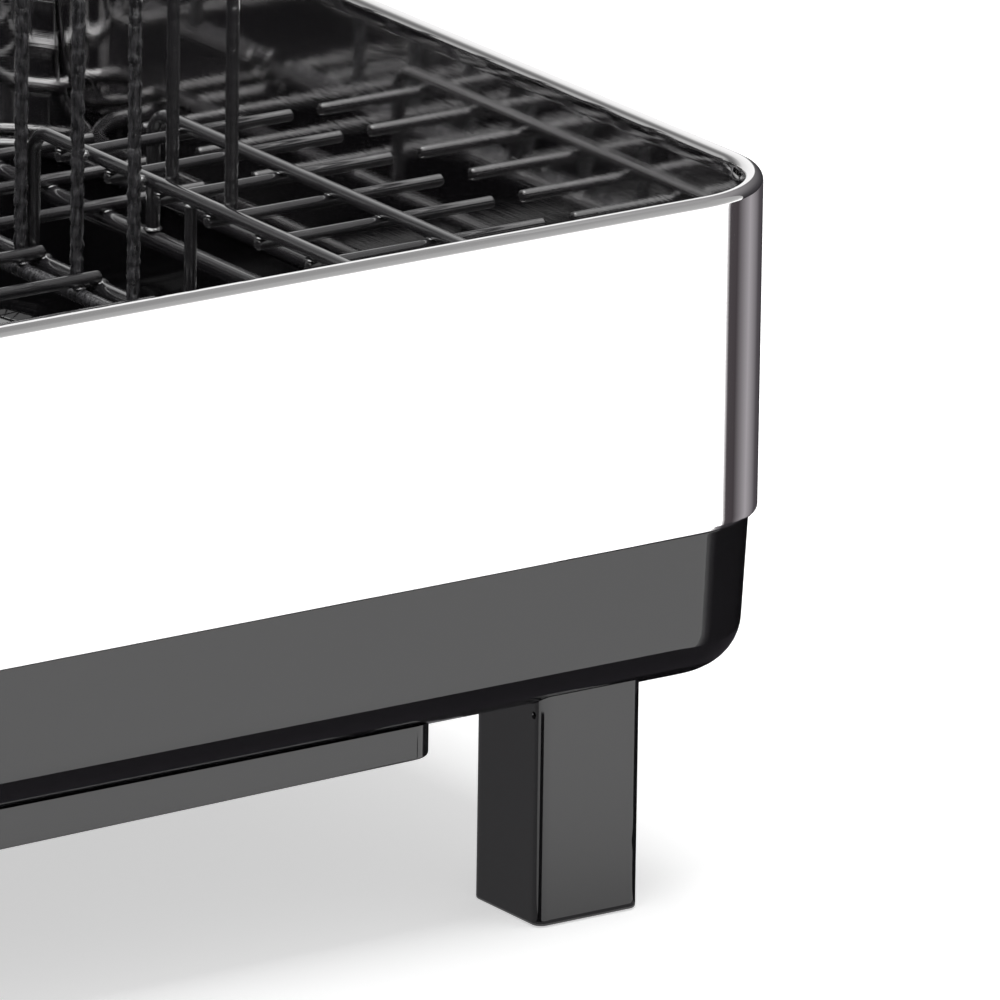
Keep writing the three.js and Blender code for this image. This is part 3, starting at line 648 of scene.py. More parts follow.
def band_parts():
    """One sheet with a hem rolled in at the rim and a short hem at the foot."""
    bulge = RIM_HEM_ROUNDING
    hem_end_z = RIM_Z - RIM_HEM_DEPTH
    crown_z = RIM_Z - SHEET - HEM_CROWN
    fold_inner = RIM_HEM_WIDTH - SHEET
    foot_hem_z = BAND_FOOT_Z + FOOT_HEM_DEPTH
    face = (BAND_FOOT_Z + FOLD_EDGE, BAND_FOOT_Z + 2 * FLAT_HOLD, RIM_Z - bulge - FLAT_HOLD)
    profile = [(0.0, z) for z in face]
    profile += [(bulge * (1 - cosine), RIM_Z - bulge * (1 - sine)) for sine, cosine in quarter(8)]
    for sine, cosine in quarter(8):
        profile.append((RIM_HEM_WIDTH - bulge * (1 - sine), RIM_Z - bulge * (1 - cosine)))
    for sine, cosine in quarter(3):
        profile.append((RIM_HEM_WIDTH - FOLD_EDGE * (1 - cosine), hem_end_z + FOLD_EDGE * (1 - sine)))
    profile += [
        (fold_inner, hem_end_z), (fold_inner, crown_z), (SHEET, crown_z), (SHEET, hem_end_z),
        (SHEET, foot_hem_z + 2 * FLAT_HOLD), (SHEET, foot_hem_z), (FOOT_HEM_WIDTH - FOLD_EDGE, foot_hem_z),
        (FOOT_HEM_WIDTH, foot_hem_z - FOLD_EDGE), (FOOT_HEM_WIDTH, BAND_FOOT_Z + FOLD_EDGE),
        (FOOT_HEM_WIDTH - FOLD_EDGE, BAND_FOOT_Z),
    ]
    for sine, cosine in quarter(3)[:0:-1]:
        profile.append((FOLD_EDGE * (1 - sine), BAND_FOOT_Z + FOLD_EDGE * (1 - cosine)))
    return loft([level(inset_outline(inset, BAND_CORNER - inset), z) for inset, z in profile], closed=True)


# Tray

def tray_outline(inset):
    """The tray's outline at an inset, with its corners drawn in as far."""
    return inset_outline(inset, TRAY_CORNER - (inset - TRAY_INSET))


def spigot_outline(draw_in):
    """Outline of the tray's upper wall, which stands inside the band."""
    return inset_outline(SPIGOT_INSET + draw_in, BAND_CORNER - SPIGOT_INSET - draw_in)


def pan_outside():
    """The pan and its upper wall as a solid."""
    levels = []
    for sine, cosine in quarter(10):
        inset = TRAY_INSET + TRAY_DRAFT + TRAY_ROUNDING * (1 - sine)
        levels.append(level(tray_outline(inset), FACE_END_Z - TRAY_ROUNDING * cosine))
    face_height = SHOULDER_Z - FACE_END_Z
    for rise in (1.5 * FLAT_HOLD, face_height - MOULDED_EDGE - FLAT_HOLD):
        inset = TRAY_INSET + TRAY_DRAFT * (1 - rise / face_height)
        levels.append(level(tray_outline(inset), FACE_END_Z + rise))
    levels += rim_levels(lambda draw_in: tray_outline(TRAY_INSET + draw_in), MOULDED_EDGE, SHOULDER_Z, 4)
    levels.append(level(spigot_outline(0.0), SHOULDER_Z))
    levels += rim_levels(spigot_outline, MOULDED_EDGE, SPIGOT_TOP_Z, 4)
    return loft(levels)


def pan_inside():
    """The hollow of the pan."""
    cavity = TRAY_INSET + TRAY_DRAFT + TRAY_WALL
    rounding = TRAY_ROUNDING - TRAY_WALL
    levels = []
    for sine, cosine in quarter(8):
        levels.append(level(tray_outline(cavity + rounding * (1 - sine)), FACE_END_Z - rounding * cosine))
    for z in (SHOULDER_Z, SPIGOT_TOP_Z - MOULDED_EDGE):
        levels.append(level(spigot_outline(SPIGOT_WALL), z))
    for past in (CUT_STEP, CUT_PAST):
        levels.append(level(spigot_outline(SPIGOT_WALL - MOULDED_EDGE), SPIGOT_TOP_Z + past))
    return loft(levels)


def sump_body(wall, top_z, lip=0.0):
    """The sump under the pan, sloping to the left, with a lip where it opens into the pan's floor."""
    half_x = SUMP_HALF_LENGTH - wall
    half_y = HALF_DEPTH - SUMP_INSET - wall

    def outline(draw_in):
        return rounded_outline(half_x - draw_in, half_y - draw_in, SUMP_CORNER - wall - draw_in, steps=10)

    levels = foot_levels(outline, SUMP_EDGE, SUMP_MIDDLE_Z + wall, 5, SUMP_SLOPE)
    if lip:
        levels += rim_levels(lambda draw_in: outline(-draw_in), lip, PAN_FLOOR_Z, 4)
    levels.append(level(outline(-lip), top_z))
    return loft(levels)


def channel_body(wall, top_z):
    """The channel from the sump's low end to the outlet."""
    half_width = CHANNEL_HALF_WIDTH - wall
    end_x = OUTLET_X - half_width
    inner_x = -SUMP_HALF_LENGTH + SUMP_CORNER + TRAY_WALL
    half_x = (inner_x - end_x) / 2
    middle_x = (inner_x + end_x) / 2

    def outline(draw_in):
        corner = half_width - SUMP_EDGE - draw_in
        return rounded_outline(half_x - draw_in, half_width - draw_in, corner, middle_x, steps=16)

    levels = foot_levels(outline, CHANNEL_EDGE, CHANNEL_Z + wall, 4)
    levels.append(level(outline(0.0), top_z))
    return loft(levels)


def rounded_block(half_x, half_y, low_z, high_z, x, y, edge):
    """A block with all its edges rounded."""
    def outline(draw_in):
        corner = edge * BLOCK_CORNER_SHARE - draw_in + BLOCK_CORNER_LEAST
        return rounded_outline(half_x - draw_in, half_y - draw_in, corner, x, y, steps=4)

    return loft(foot_levels(outline, edge, low_z, 3) + rim_levels(outline, edge, high_z, 3))


def tray_blocks():
    """Lugs that the band snaps over, and ribs that the rack's frame wire rests on."""
    lug_z = (LUG_LOW_Z, LUG_HIGH_Z)
    rib_z = (RIB_LOW_Z, RIB_HIGH_Z)
    blocks = []
    for side in (-1, 1):
        lug_x, lug_y = side * (HALF_LENGTH - SPIGOT_INSET), side * (HALF_DEPTH - SPIGOT_INSET)
        rib_x, rib_y = side * (HALF_LENGTH - RIB_INSET), side * (HALF_DEPTH - RIB_INSET)
        for x in (-HALF_LENGTH / 2, HALF_LENGTH / 2):
            blocks.append((LUG_HALF_LENGTH, LUG_HALF_WIDTH, *lug_z, x, lug_y))
        blocks.append((LUG_HALF_WIDTH, LUG_HALF_LENGTH, *lug_z, lug_x, 0.0))
        for share in (-RIB_SPREAD, 0.0, RIB_SPREAD):
            blocks.append((RIB_HALF_LENGTH, RIB_HALF_WIDTH, *rib_z, share * HALF_LENGTH, rib_y))
        for share in (-RIB_SPREAD, RIB_SPREAD):
            blocks.append((RIB_HALF_WIDTH, RIB_HALF_LENGTH, *rib_z, rib_x, share * HALF_DEPTH))
    return [shape(*rounded_block(*block, BLOCK_EDGE)) for block in blocks]


def tray_mesh():
    """The tray: pan, sump and channel in one hollow moulding, with a bored outlet."""
    joined_on = [shape(*sump_body(0.0, SUMP_TOP_Z)), shape(*channel_body(0.0, SUMP_TOP_Z - CUT_STEP))]
    walls = combined(shape(*pan_outside()), joined_on, "UNION")
    cut_z = PAN_FLOOR_Z + CUT_PAST
    hollowed = combined(walls, [
        shape(*pan_inside()),
        shape(*sump_body(TRAY_WALL, cut_z, SUMP_LIP)),
        shape(*channel_body(TRAY_WALL, cut_z - CUT_STEP)),
    ], "DIFFERENCE")
    outlet = turned([
        (OUTLET_RADIUS - MOULDED_EDGE, OUTLET_END_Z), (OUTLET_RADIUS, OUTLET_END_Z + MOULDED_EDGE),
        (OUTLET_RADIUS, CHANNEL_Z + TRAY_WALL / 2),
    ], OUTLET_X, 0.0)
    bosses = [turned(SCREW_BOSS, sign_x * LEG_X, sign_y * LEG_Y) for _, sign_x, sign_y in LEG_PLACES]
    additions = [shape(*outlet)] + tray_blocks() + [shape(*boss) for boss in bosses]
    full = combined(hollowed, additions, "UNION")
    channel_floor_z = CHANNEL_Z + TRAY_WALL
    low_bore = [(BORE_BEVEL, -CUT_PAST), (BORE_BEVEL, 0.0), (0.0, BORE_BEVEL)]
    high_bore = [(0.0, CUT_STEP - DRAIN_BEVEL), (DRAIN_BEVEL, CUT_STEP), (DRAIN_BEVEL, CUT_PAST)]
    bore = [(OUTLET_BORE_RADIUS + growth, OUTLET_END_Z + rise) for growth, rise in low_bore]
    bore += [(OUTLET_BORE_RADIUS + growth, channel_floor_z + rise) for growth, rise in high_bore]
    bored = combined(full, [shape(*turned(bore, OUTLET_X, 0.0))], "DIFFERENCE")
    post_z = channel_floor_z - MOULDED_EDGE
    post = turned([
        (PIVOT_POST_RADIUS, OUTLET_END_Z), (PIVOT_POST_RADIUS, post_z - MOULDED_EDGE),
        (PIVOT_POST_RADIUS - MOULDED_EDGE, post_z),
    ], OUTLET_X, 0.0, SMALL_TURNED_SIDES)
    bridge = rounded_block(PIVOT_BRIDGE_HALF_LENGTH, PIVOT_BRIDGE_HALF_WIDTH, OUTLET_END_Z, post_z,
                           OUTLET_X, 0.0, BLOCK_EDGE)
    return combined(bored, [shape(*post), shape(*bridge)], "UNION")


# Legs, pads and screws

def tray_underside_z(inset):
    """Height of the pan's underside at an inset from the front or back."""
    past = max(TRAY_INSET + TRAY_DRAFT + TRAY_ROUNDING - inset, 0.0)
    return FACE_END_Z - math.sqrt(TRAY_ROUNDING ** 2 - past ** 2)


def leg_mesh(sign_x, sign_y):
    """A flared block under the tray's rounding, with a recess for its pad and a moulding dimple."""
    x, y = sign_x * LEG_X, sign_y * LEG_Y
    half_x = LEG_HALF_X + LEG_FLARE
    half_y = LEG_HALF_Y + LEG_FLARE

    def recess(growth):
        fit = PAD_MARGIN - RECESS_FIT - growth
        return rounded_outline(LEG_HALF_X - fit, LEG_HALF_Y - fit, RECESS_CORNER, x, y, steps=8)

    def block(draw_in):
        return rounded_outline(half_x - draw_in, half_y - draw_in, LEG_ROUNDING - draw_in,
                               x, y - sign_y * LEG_FLARE, steps=8)

    levels = [
        level(recess(0.0), PAD_HEIGHT + RECESS_HEADROOM),
        level(recess(0.0), LEG_FOOT_Z + RECESS_FIT),
        level(recess(RECESS_FIT), LEG_FOOT_Z),
    ]
    levels += foot_levels(block, LEG_FOOT_EDGE, LEG_FOOT_Z, 4)
    full = block(0.0)
    levels.append(level(full, LEG_FOOT_Z + 2 * FLAT_HOLD))
    levels.append(level(full, PAN_BOTTOM_Z - 1.5 * FLAT_HOLD))
    levels.append([(p.x, p.y, tray_underside_z(HALF_DEPTH - abs(p.y)) - LEG_SEAT_GAP) for p in full])
    dimple_y = y + sign_y * (LEG_HALF_Y - DIMPLE_INSET)
    rings = []
    for reach, radius in DIMPLE_PROFILE:
        ring_x = x - sign_x * (half_x + reach)
        rings.append([(ring_x, dimple_y - sign_x * radius * cosine, DIMPLE_Z + radius * sine)
                      for cosine, sine in circle(24)])
    return combined(shape(*loft(levels)), [shape(*loft(rings))], "DIFFERENCE")


def pad_parts(sign_x, sign_y):
    """A rubber pad with a soft lower edge and a shallow hollow under its middle."""
    half_x = LEG_HALF_X - PAD_MARGIN
    half_y = LEG_HALF_Y - PAD_MARGIN

    def outline(draw_in):
        return rounded_outline(half_x - draw_in, half_y - draw_in, PAD_ROUNDING - draw_in,
                               sign_x * LEG_X, sign_y * LEG_Y, steps=8)

    inner = outline(PAD_HOLLOW_INSET)
    levels = [level(scaled(inner, inset - PAD_HOLLOW_INSET), z) for inset, z in PAD_HOLLOW]
    levels += foot_levels(outline, PAD_EDGE, 0.0, 4)
    levels.append(level(outline(0.0), PAD_HEIGHT - PAD_BEVEL))
    levels.append(level(outline(PAD_BEVEL), PAD_HEIGHT))
    return loft(levels)


def scaled(outline, inset):
    """An outline drawn in further by pulling its points towards its middle, for flat undersides."""
    middle = sum(outline, Vector((0.0, 0.0))) / len(outline)
    share_x = 1 - inset / max(abs(point.x - middle.x) for point in outline)
    share_y = 1 - inset / max(abs(point.y - middle.y) for point in outline)
    return [
        Vector((middle.x + (point.x - middle.x) * share_x, middle.y + (point.y - middle.y) * share_y))
        for point in outline
    ]


def screw_mesh(head, head_height, head_top_z, tip_z, x, y):
    """A turned pan-head screw with its head down, a domed face and a cross recess."""
    radius = SCREW_SHANK / 2
    low_z = head_top_z - head_height
    profile = [(head * share, low_z + head_height * rise) for share, rise in HEAD_PROFILE]
    profile += [(head / 2, head_top_z - HEAD_EDGE), (head / 2 - HEAD_EDGE, head_top_z), (radius, head_top_z)]
    z = head_top_z + THREAD_START
    while z < tip_z - radius - THREAD_PITCH:
        profile += [(radius, z), (radius * THREAD_ROOT, z + THREAD_PITCH / 2)]
        z += THREAD_PITCH
    profile += [(radius * share, tip_z + radius * rise) for share, rise in TIP_PROFILE]
    body = shape(*turned(profile, x, y, SMALL_TURNED_SIDES))
    reach = head * CROSS_REACH
    slots = []
    for half_x, half_y in ((reach, CROSS_HALF_WIDTH), (CROSS_HALF_WIDTH, reach)):
        block = rounded_block(half_x, half_y, low_z - CUT_PAST, low_z + CROSS_DEPTH, x, y, CROSS_EDGE)
        slots.append(shape(*block))
    return combined(body, slots, "DIFFERENCE")


def spout_mesh():
    """The spout: a cup round the outlet and an open arm, which swing together on the pivot screw."""
    outer = SPOUT_BORE_RADIUS + SPOUT_WALL
    bore = SPOUT_BORE_RADIUS
    foot = [(SPOUT_FOOT_EDGE, 0.0), (SPOUT_FOOT_BEND, SPOUT_FOOT_BEND), (0.0, SPOUT_FOOT_EDGE)]
    cup = [(outer - draw_in, SPOUT_BOTTOM_Z + rise) for draw_in, rise in foot]
    cup += [(outer, SPOUT_TOP_Z - MOULDED_EDGE), (outer - MOULDED_EDGE, SPOUT_TOP_Z)]
    half_arm = SPOUT_ARM_WIDTH / 2
    half_reach = SPOUT_REACH / 2
    arm = rounded_block(half_arm, half_reach, SPOUT_BOTTOM_Z, SPOUT_ARM_TOP_Z,
                        OUTLET_X, half_reach, SPOUT_EDGE)
    whole = combined(shape(*turned(cup, OUTLET_X, 0.0, SPOUT_SIDES)), [shape(*arm)], "UNION")
    half_reach += CUT_PAST
    hollow = turned([
        (bore - SPOUT_FLOOR_EDGE, SPOUT_FLOOR_Z), (bore, SPOUT_FLOOR_Z + SPOUT_FLOOR_EDGE),
        (bore, SPOUT_TOP_Z - MOULDED_EDGE), (bore + BORE_BEVEL, SPOUT_TOP_Z + CUT_STEP),
        (bore + BORE_BEVEL, SPOUT_TOP_Z + CUT_PAST),
    ], OUTLET_X, 0.0, SPOUT_SIDES)
    trough = rounded_block(half_arm - SPOUT_WALL, half_reach, SPOUT_FLOOR_Z + TROUGH_RISE,
                           SPOUT_ARM_TOP_Z + 2 * CUT_PAST, OUTLET_X, half_reach, SPOUT_EDGE)
    hole_ends = (SPOUT_BOTTOM_Z - CUT_PAST, SPOUT_FLOOR_Z + CUT_PAST)
    screw_hole = turned([(SPOUT_SCREW_HOLE_RADIUS, z) for z in hole_ends], OUTLET_X, 0.0, SMALL_TURNED_SIDES)
    return combined(whole, [shape(*hollow), shape(*trough), shape(*screw_hole)], "DIFFERENCE")


def seal_parts():
    """A flat ring seal with a lip at its inner and outer edge."""
    inner = OUTLET_RADIUS + SEAL_FIT
    outer = SPOUT_BORE_RADIUS + SPOUT_WALL
    half = [(0.0, SEAL_LOW_Z + SEAL_EDGE), (SEAL_EDGE, SEAL_LOW_Z), (SEAL_LIP, SEAL_LOW_Z + SEAL_HOLLOW)]
    top = [(SEAL_EDGE, SEAL_HIGH_Z), (0.0, SEAL_HIGH_Z - SEAL_EDGE)]
    profile = [(inner + past, z) for past, z in half] + [(outer - past, z) for past, z in reversed(half)]
    profile += [(outer - past, z) for past, z in reversed(top)] + [(inner + past, z) for past, z in top]
    return turned(profile, OUTLET_X, 0.0, SPOUT_SIDES, closed=True)


# Caddy

def caddy_outline(half_x, half_y, corner, y=CADDY_Y):
    """A rounded rectangle in the caddy's place."""
    return rounded_outline(half_x, half_y, corner, CADDY_X, y, steps=10)


def caddy_pocket(half_x, half_y, y):
    """The hollow of one pocket, with a rounded floor and an eased mouth."""
    def outline(draw_in):
        return caddy_outline(half_x - draw_in, half_y - draw_in, CADDY_CORNER - CADDY_WALL - draw_in, y)

    floor_z = CADDY_BOTTOM_Z + CADDY_WALL
    levels = foot_levels(lambda draw_in: outline(CADDY_DRAFT + draw_in), POCKET_ROUNDING, floor_z, 5)
    levels += [level(outline(-growth), CADDY_TOP_Z + rise) for growth, rise in POCKET_MOUTH]
    return loft(levels)


def caddy_slot(half_x, y):
    """One drain slot through a pocket's floor."""
    outline = rounded_outline(half_x, CADDY_SLOT / 2, CADDY_SLOT / 2 - SLOT_END_FLAT, CADDY_X, y, steps=8)
    return loft([level(outline, CADDY_BOTTOM_Z + rise) for rise in SLOT_CUT])


def caddy_mesh():
    """The caddy: a tapered box with a thick rim, three pockets and slots in their floors."""
    half_x = CADDY_HALF_WIDTH - CADDY_RIM_WIDTH
    half_y = CADDY_HALF_LENGTH - CADDY_RIM_WIDTH
    rim_low_z = CADDY_TOP_Z - CADDY_RIM_DEPTH

    def box(draw_in):
        draw_in += CADDY_DRAFT
        return caddy_outline(half_x - draw_in, half_y - draw_in, CADDY_CORNER - draw_in)

    def rim(draw_in):
        return caddy_outline(CADDY_HALF_WIDTH - draw_in, CADDY_HALF_LENGTH - draw_in, CADDY_CORNER - draw_in)

    levels = foot_levels(box, CADDY_FOOT_ROUNDING, CADDY_BOTTOM_Z, 5)
    for draft, z in ((CADDY_RIM_DRAFT, rim_low_z - FLAT_HOLD), (0.0, rim_low_z)):
        levels.append(level(caddy_outline(half_x - draft, half_y - draft, CADDY_CORNER), z))
    levels += foot_levels(rim, CADDY_RIM_LOW_EDGE, rim_low_z, 3)
    levels += rim_levels(rim, CADDY_RIM_EDGE, CADDY_TOP_Z, 4)
    outside = shape(*loft(levels))
    pocket_x = half_x - CADDY_WALL
    pitch = 2 * (half_y - CADDY_WALL / 2) / CADDY_POCKETS
    pocket_y = (pitch - CADDY_WALL) / 2
    middles = [CADDY_Y + (i - (CADDY_POCKETS - 1) / 2) * pitch for i in range(CADDY_POCKETS)]
    opened = combined(outside, [shape(*caddy_pocket(pocket_x, pocket_y, y)) for y in middles], "DIFFERENCE")
    slots = []
    for y in middles:
        for slot in range(1, CADDY_SLOTS + 1):
            slot_y = y - pocket_y + slot * 2 * pocket_y / (CADDY_SLOTS + 1)
            slots.append(shape(*caddy_slot(pocket_x / 2, slot_y)))
    return combined(opened, slots, "DIFFERENCE")


# Materials

def linear(hex_colour):
    """An sRGB hex colour as linear values."""
    channels = [int(hex_colour[i:i + 2], 16) / 255 for i in (1, 3, 5)]
    return tuple(c / 12.92 if c <= 0.04045 else ((c + 0.055) / 1.055) ** 2.4 for c in channels) + (1.0,)


def feed(tree, node, inputs):
    """Links an input that is given another node's socket, and sets any other value on it."""
    for name, value in dict(inputs).items():
        if isinstance(value, bpy.types.NodeSocket):
            tree.links.new(value, node.inputs[name])
        else:
            node.inputs[name].default_value = value


def add_node(tree, kind, inputs=(), **settings):
    """Adds a node with its settings and links."""
    made = tree.nodes.new(kind)
    for name, value in settings.items():
        setattr(made, name, value)
    feed(tree, made, inputs)
    return made


def empty_material(name):
    """A material with nothing in its node tree yet."""
    material = bpy.data.materials.new(name)
    material.use_nodes = True
    material.node_tree.nodes.clear()
    return material, material.node_tree


def new_material(name):
    """A material with its surface shader and the drainer's own coordinates in metres."""
    material, tree = empty_material(name)
    surface = add_node(tree, "ShaderNodeBsdfPrincipled")
    output = add_node(tree, "ShaderNodeOutputMaterial", {"Surface": surface.outputs["BSDF"]})
    output.is_active_output = True
    place = add_node(tree, "ShaderNodeTexCoord").outputs["Object"]
    return material, tree, surface, place


def per_metre(feature_mm):
    """Texture scale that makes a pattern's features about this many millimetres across."""
    return 1.0 / (feature_mm * MM)


def stretched(tree, place, x_mm, y_mm, z_mm):
    """Coordinates that make a pattern of unit scale this many millimetres long each way."""
    return add_node(tree, "ShaderNodeMapping", {
        "Vector": place, "Scale": (per_metre(x_mm), per_metre(y_mm), per_metre(z_mm)),
    }).outputs["Vector"]


def polished_stainless():
    """Polished stainless strip, rolled bright and buffed along its length: a near mirror whose
    fine buffing lines run round the band and whose handling leaves faint clouded patches."""
    material, tree, surface, place = new_material("polished_stainless")
    cloud = add_node(tree, "ShaderNodeTexNoise", {"Vector": place, "Scale": per_metre(42.0), "Detail": 3.0})
    lines = add_node(tree, "ShaderNodeTexNoise", {
        "Vector": stretched(tree, place, 60.0, 60.0, 0.35), "Scale": 1.0, "Detail": 2.0,
    })
    tone = add_node(tree, "ShaderNodeMixRGB", {
        "Fac": cloud.outputs["Fac"], "Color1": linear("#f8f7f7"), "Color2": linear("#fcfbfb"),
    })
    gloss = add_node(tree, "ShaderNodeMapRange", {
        "Value": cloud.outputs["Fac"], "From Min": 0.3, "From Max": 0.7, "To Min": 0.035, "To Max": 0.06,
    })
    ripple = add_node(tree, "ShaderNodeBump", {
        "Height": lines.outputs["Fac"], "Strength": 0.025, "Distance": 0.0002,
    })
    feed(tree, surface, {
        "Base Color": tone.outputs["Color"], "Roughness": gloss.outputs["Result"],
        "Normal": ripple.outputs["Normal"], "Metallic": 1.0,
    })
    return material


def gloss_black_abs():
    """Black ABS moulded in a polished tool: a deep even black with a hard shine, a very slight
    orange-peel from the mould and a few dulled specks where it has been wiped."""
    material, tree, surface, place = new_material("gloss_black_abs")
    peel = add_node(tree, "ShaderNodeTexNoise", {"Vector": place, "Scale": per_metre(7.0), "Detail": 2.0})
    wiped = add_node(tree, "ShaderNodeTexNoise", {"Vector": place, "Scale": per_metre(55.0), "Detail": 4.0})
    tone = add_node(tree, "ShaderNodeMixRGB", {
        "Fac": wiped.outputs["Fac"], "Color1": linear("#171618"), "Color2": linear("#1c1b1d"),
    })
    gloss = add_node(tree, "ShaderNodeMapRange", {
        "Value": wiped.outputs["Fac"], "From Min": 0.3, "From Max": 0.75, "To Min": 0.05, "To Max": 0.09,
    })
    ripple = add_node(tree, "ShaderNodeBump", {
        "Height": peel.outputs["Fac"], "Strength": 0.04, "Distance": 0.0003,
    })
    feed(tree, surface, {
        "Base Color": tone.outputs["Color"], "Roughness": gloss.outputs["Result"],
        "Normal": ripple.outputs["Normal"], "IOR": 1.54, "Specular IOR Level": 0.7,
    })
    return material


def dipped_black_coating():
    """Black polyamide dip coating over steel wire: shiny and smooth, with long shallow swells
    where it has sagged, so each wire carries a bright line along its upper side."""
    material, tree, surface, place = new_material("dipped_black_coating")
    swell = add_node(tree, "ShaderNodeTexNoise", {"Vector": place, "Scale": per_metre(8.0), "Detail": 1.5})
    tone = add_node(tree, "ShaderNodeMixRGB", {
        "Fac": swell.outputs["Fac"], "Color1": linear("#272628"), "Color2": linear("#343335"),
    })
    gloss = add_node(tree, "ShaderNodeMapRange", {
        "Value": swell.outputs["Fac"], "From Min": 0.3, "From Max": 0.7, "To Min": 0.14, "To Max": 0.22,
    })
    lumps = add_node(tree, "ShaderNodeBump", {
        "Height": swell.outputs["Fac"], "Strength": 0.3, "Distance": 0.0006,
    })
    feed(tree, surface, {
        "Base Color": tone.outputs["Color"], "Roughness": gloss.outputs["Result"],
        "Normal": lumps.outputs["Normal"], "IOR": 1.53, "Specular IOR Level": 1.0, "Coat Weight": 1.0,
        "Coat IOR": 1.6, "Coat Roughness": 0.1,
    })
    return material


def black_coating_painted_glints():
    """The same coating on the upright tines, which hang head down to drain when they are dipped, so it sets
    in short upright runs. Lighter upright streaks in its colour are painted highlights along each tine."""
    material, tree, surface, place = new_material("black_coating_painted_glints")
    runs = add_node(tree, "ShaderNodeTexNoise", {
        "Vector": stretched(tree, place, 1.1, 1.1, 4.0), "Scale": 1.0, "Detail": 3.0,
    })
    painted_glint_streak = add_node(tree, "ShaderNodeMapRange", {
        "Value": runs.outputs["Fac"], "From Min": 0.36, "From Max": 0.64,
    })
    # Painted highlights: lighter grey upright streaks stand in for light caught along each tine
    tone = add_node(tree, "ShaderNodeMixRGB", {
        "Fac": painted_glint_streak.outputs["Result"], "Color1": linear("#262527"), "Color2": linear("#575659"),
    })
    gloss = add_node(tree, "ShaderNodeMapRange", {
        "Value": runs.outputs["Fac"], "From Min": 0.3, "From Max": 0.7, "To Min": 0.16, "To Max": 0.3,
    })
    lumps = add_node(tree, "ShaderNodeBump", {
        "Height": runs.outputs["Fac"], "Strength": 0.6, "Distance": 0.0006,
    })
    feed(tree, surface, {
        "Base Color": tone.outputs["Color"], "Roughness": gloss.outputs["Result"],
        "Normal": lumps.outputs["Normal"], "IOR": 1.53, "Specular IOR Level": 1.0, "Coat Weight": 0.6,
        "Coat IOR": 1.6, "Coat Roughness": 0.15,
    })
    return material


def moulded_rubber():
    """Black synthetic rubber, compression moulded: matt, faintly dusty and lightly grained."""
    material, tree, surface, place = new_material("moulded_rubber")
    grain = add_node(tree, "ShaderNodeTexNoise", {"Vector": place, "Scale": per_metre(0.9), "Detail": 3.0})
    tone = add_node(tree, "ShaderNodeMixRGB", {
        "Fac": grain.outputs["Fac"], "Color1": linear("#101010"), "Color2": linear("#232222"),
    })
    skin = add_node(tree, "ShaderNodeBump", {
        "Height": grain.outputs["Fac"], "Strength": 0.4, "Distance": 0.0002,
    })
    feed(tree, surface, {
        "Base Color": tone.outputs["Color"], "Normal": skin.outputs["Normal"], "Roughness": 0.78,
    })
    return material


def turned_stainless():
    """Stainless screw steel, cold headed and tumbled: bright with a soft worn grain."""
    material, tree, surface, place = new_material("turned_stainless")
    grain = add_node(tree, "ShaderNodeTexNoise", {"Vector": place, "Scale": per_metre(0.8), "Detail": 3.0})
    tone = add_node(tree, "ShaderNodeMixRGB", {
        "Fac": grain.outputs["Fac"], "Color1": linear("#b9b9bc"), "Color2": linear("#d2d2d4"),
    })
    gloss = add_node(tree, "ShaderNodeMapRange", {
        "Value": grain.outputs["Fac"], "From Min": 0.3, "From Max": 0.7, "To Min": 0.24, "To Max": 0.36,
    })
    feed(tree, surface, {
        "Base Color": tone.outputs["Color"], "Roughness": gloss.outputs["Result"], "Metallic": 1.0,
    })
    return material


# The drainer's pieces

steel = polished_stainless()
plastic = gloss_black_abs()
coating = dipped_black_coating()
glint_painted_coating = black_coating_painted_glints()
rubber = moulded_rubber()
screw_steel = turned_stainless()

new_piece("band_sheet", *band_parts(), "base", "polished_steel", ["steel_band"], steel, BAND_SMOOTH_BELOW)
adopt("tray_moulding", tray_mesh(), "base", ["drip_tray"], plastic, TRAY_SMOOTH_BELOW)

for place_name, sign_x, sign_y in LEG_PLACES:
    adopt("leg_block_" + place_name, leg_mesh(sign_x, sign_y), "base",
          ["leg_" + place_name], plastic)
    new_piece("pad_" + place_name, *pad_parts(sign_x, sign_y), "base", "black_rubber",
              ["foot_pad_" + place_name], rubber)
    adopt("screw_" + place_name, screw_mesh(**LEG_SCREW, x=sign_x * LEG_X, y=sign_y * LEG_Y),
          "base", ["leg_screw_" + place_name], screw_steel)

new_piece("seal_ring", *seal_parts(), "base", "black_rubber", ["spout_seal"], rubber)
adopt("pivot_screw", screw_mesh(**PIVOT_SCREW, x=OUTLET_X, y=0.0), "base",
      ["spout_pivot_screw"], screw_steel)
adopt("spout_moulding", spout_mesh(), "spout", ["swivel_spout"], plastic)

wire_pieces = [
    ("ring_wire", ring_parts(), ["rack_ring_left", "rack_ring_right"], coating),
    ("floor_wires", floor_parts(), ["rack_floor"], coating),
]
for row, row_x in enumerate(TINE_ROWS, 1):
    wire_pieces.append((f"tines_{row}", tine_parts(row_x), [f"tine_row_{row}"], glint_painted_coating))
wire_pieces += [
    ("shelf_floor_wires", shelf_floor_parts(), ["shelf_floor"], coating),
    ("peg_hoop_wires", peg_hoop_parts(), ["peg_hoop"], coating),
    ("cup_shelf_wires", cup_shelf_parts(), ["cup_shelf"], coating),
]
for name, parts, nodes, material in wire_pieces:
    new_piece(name, *merged(parts), "rack", "coated_wire", nodes, material)

adopt("caddy_moulding", caddy_mesh(), "caddy", ["cutlery_caddy"], plastic)


# Stage. Its lengths are metres

def stage_sheet(name, corners, material):
    """A sheet of the set through rows of four corners."""
    mesh = bpy.data.meshes.new(name)
    faces = [tuple(range(start, start + 4)) for start in range(0, len(corners), 4)]
    mesh.from_pydata([Vector(corner) for corner in corners], [], faces)
    sheet = bpy.data.objects.new(name, mesh)
    bpy.context.scene.collection.objects.link(sheet)
    mesh.materials.append(material)
    return sheet


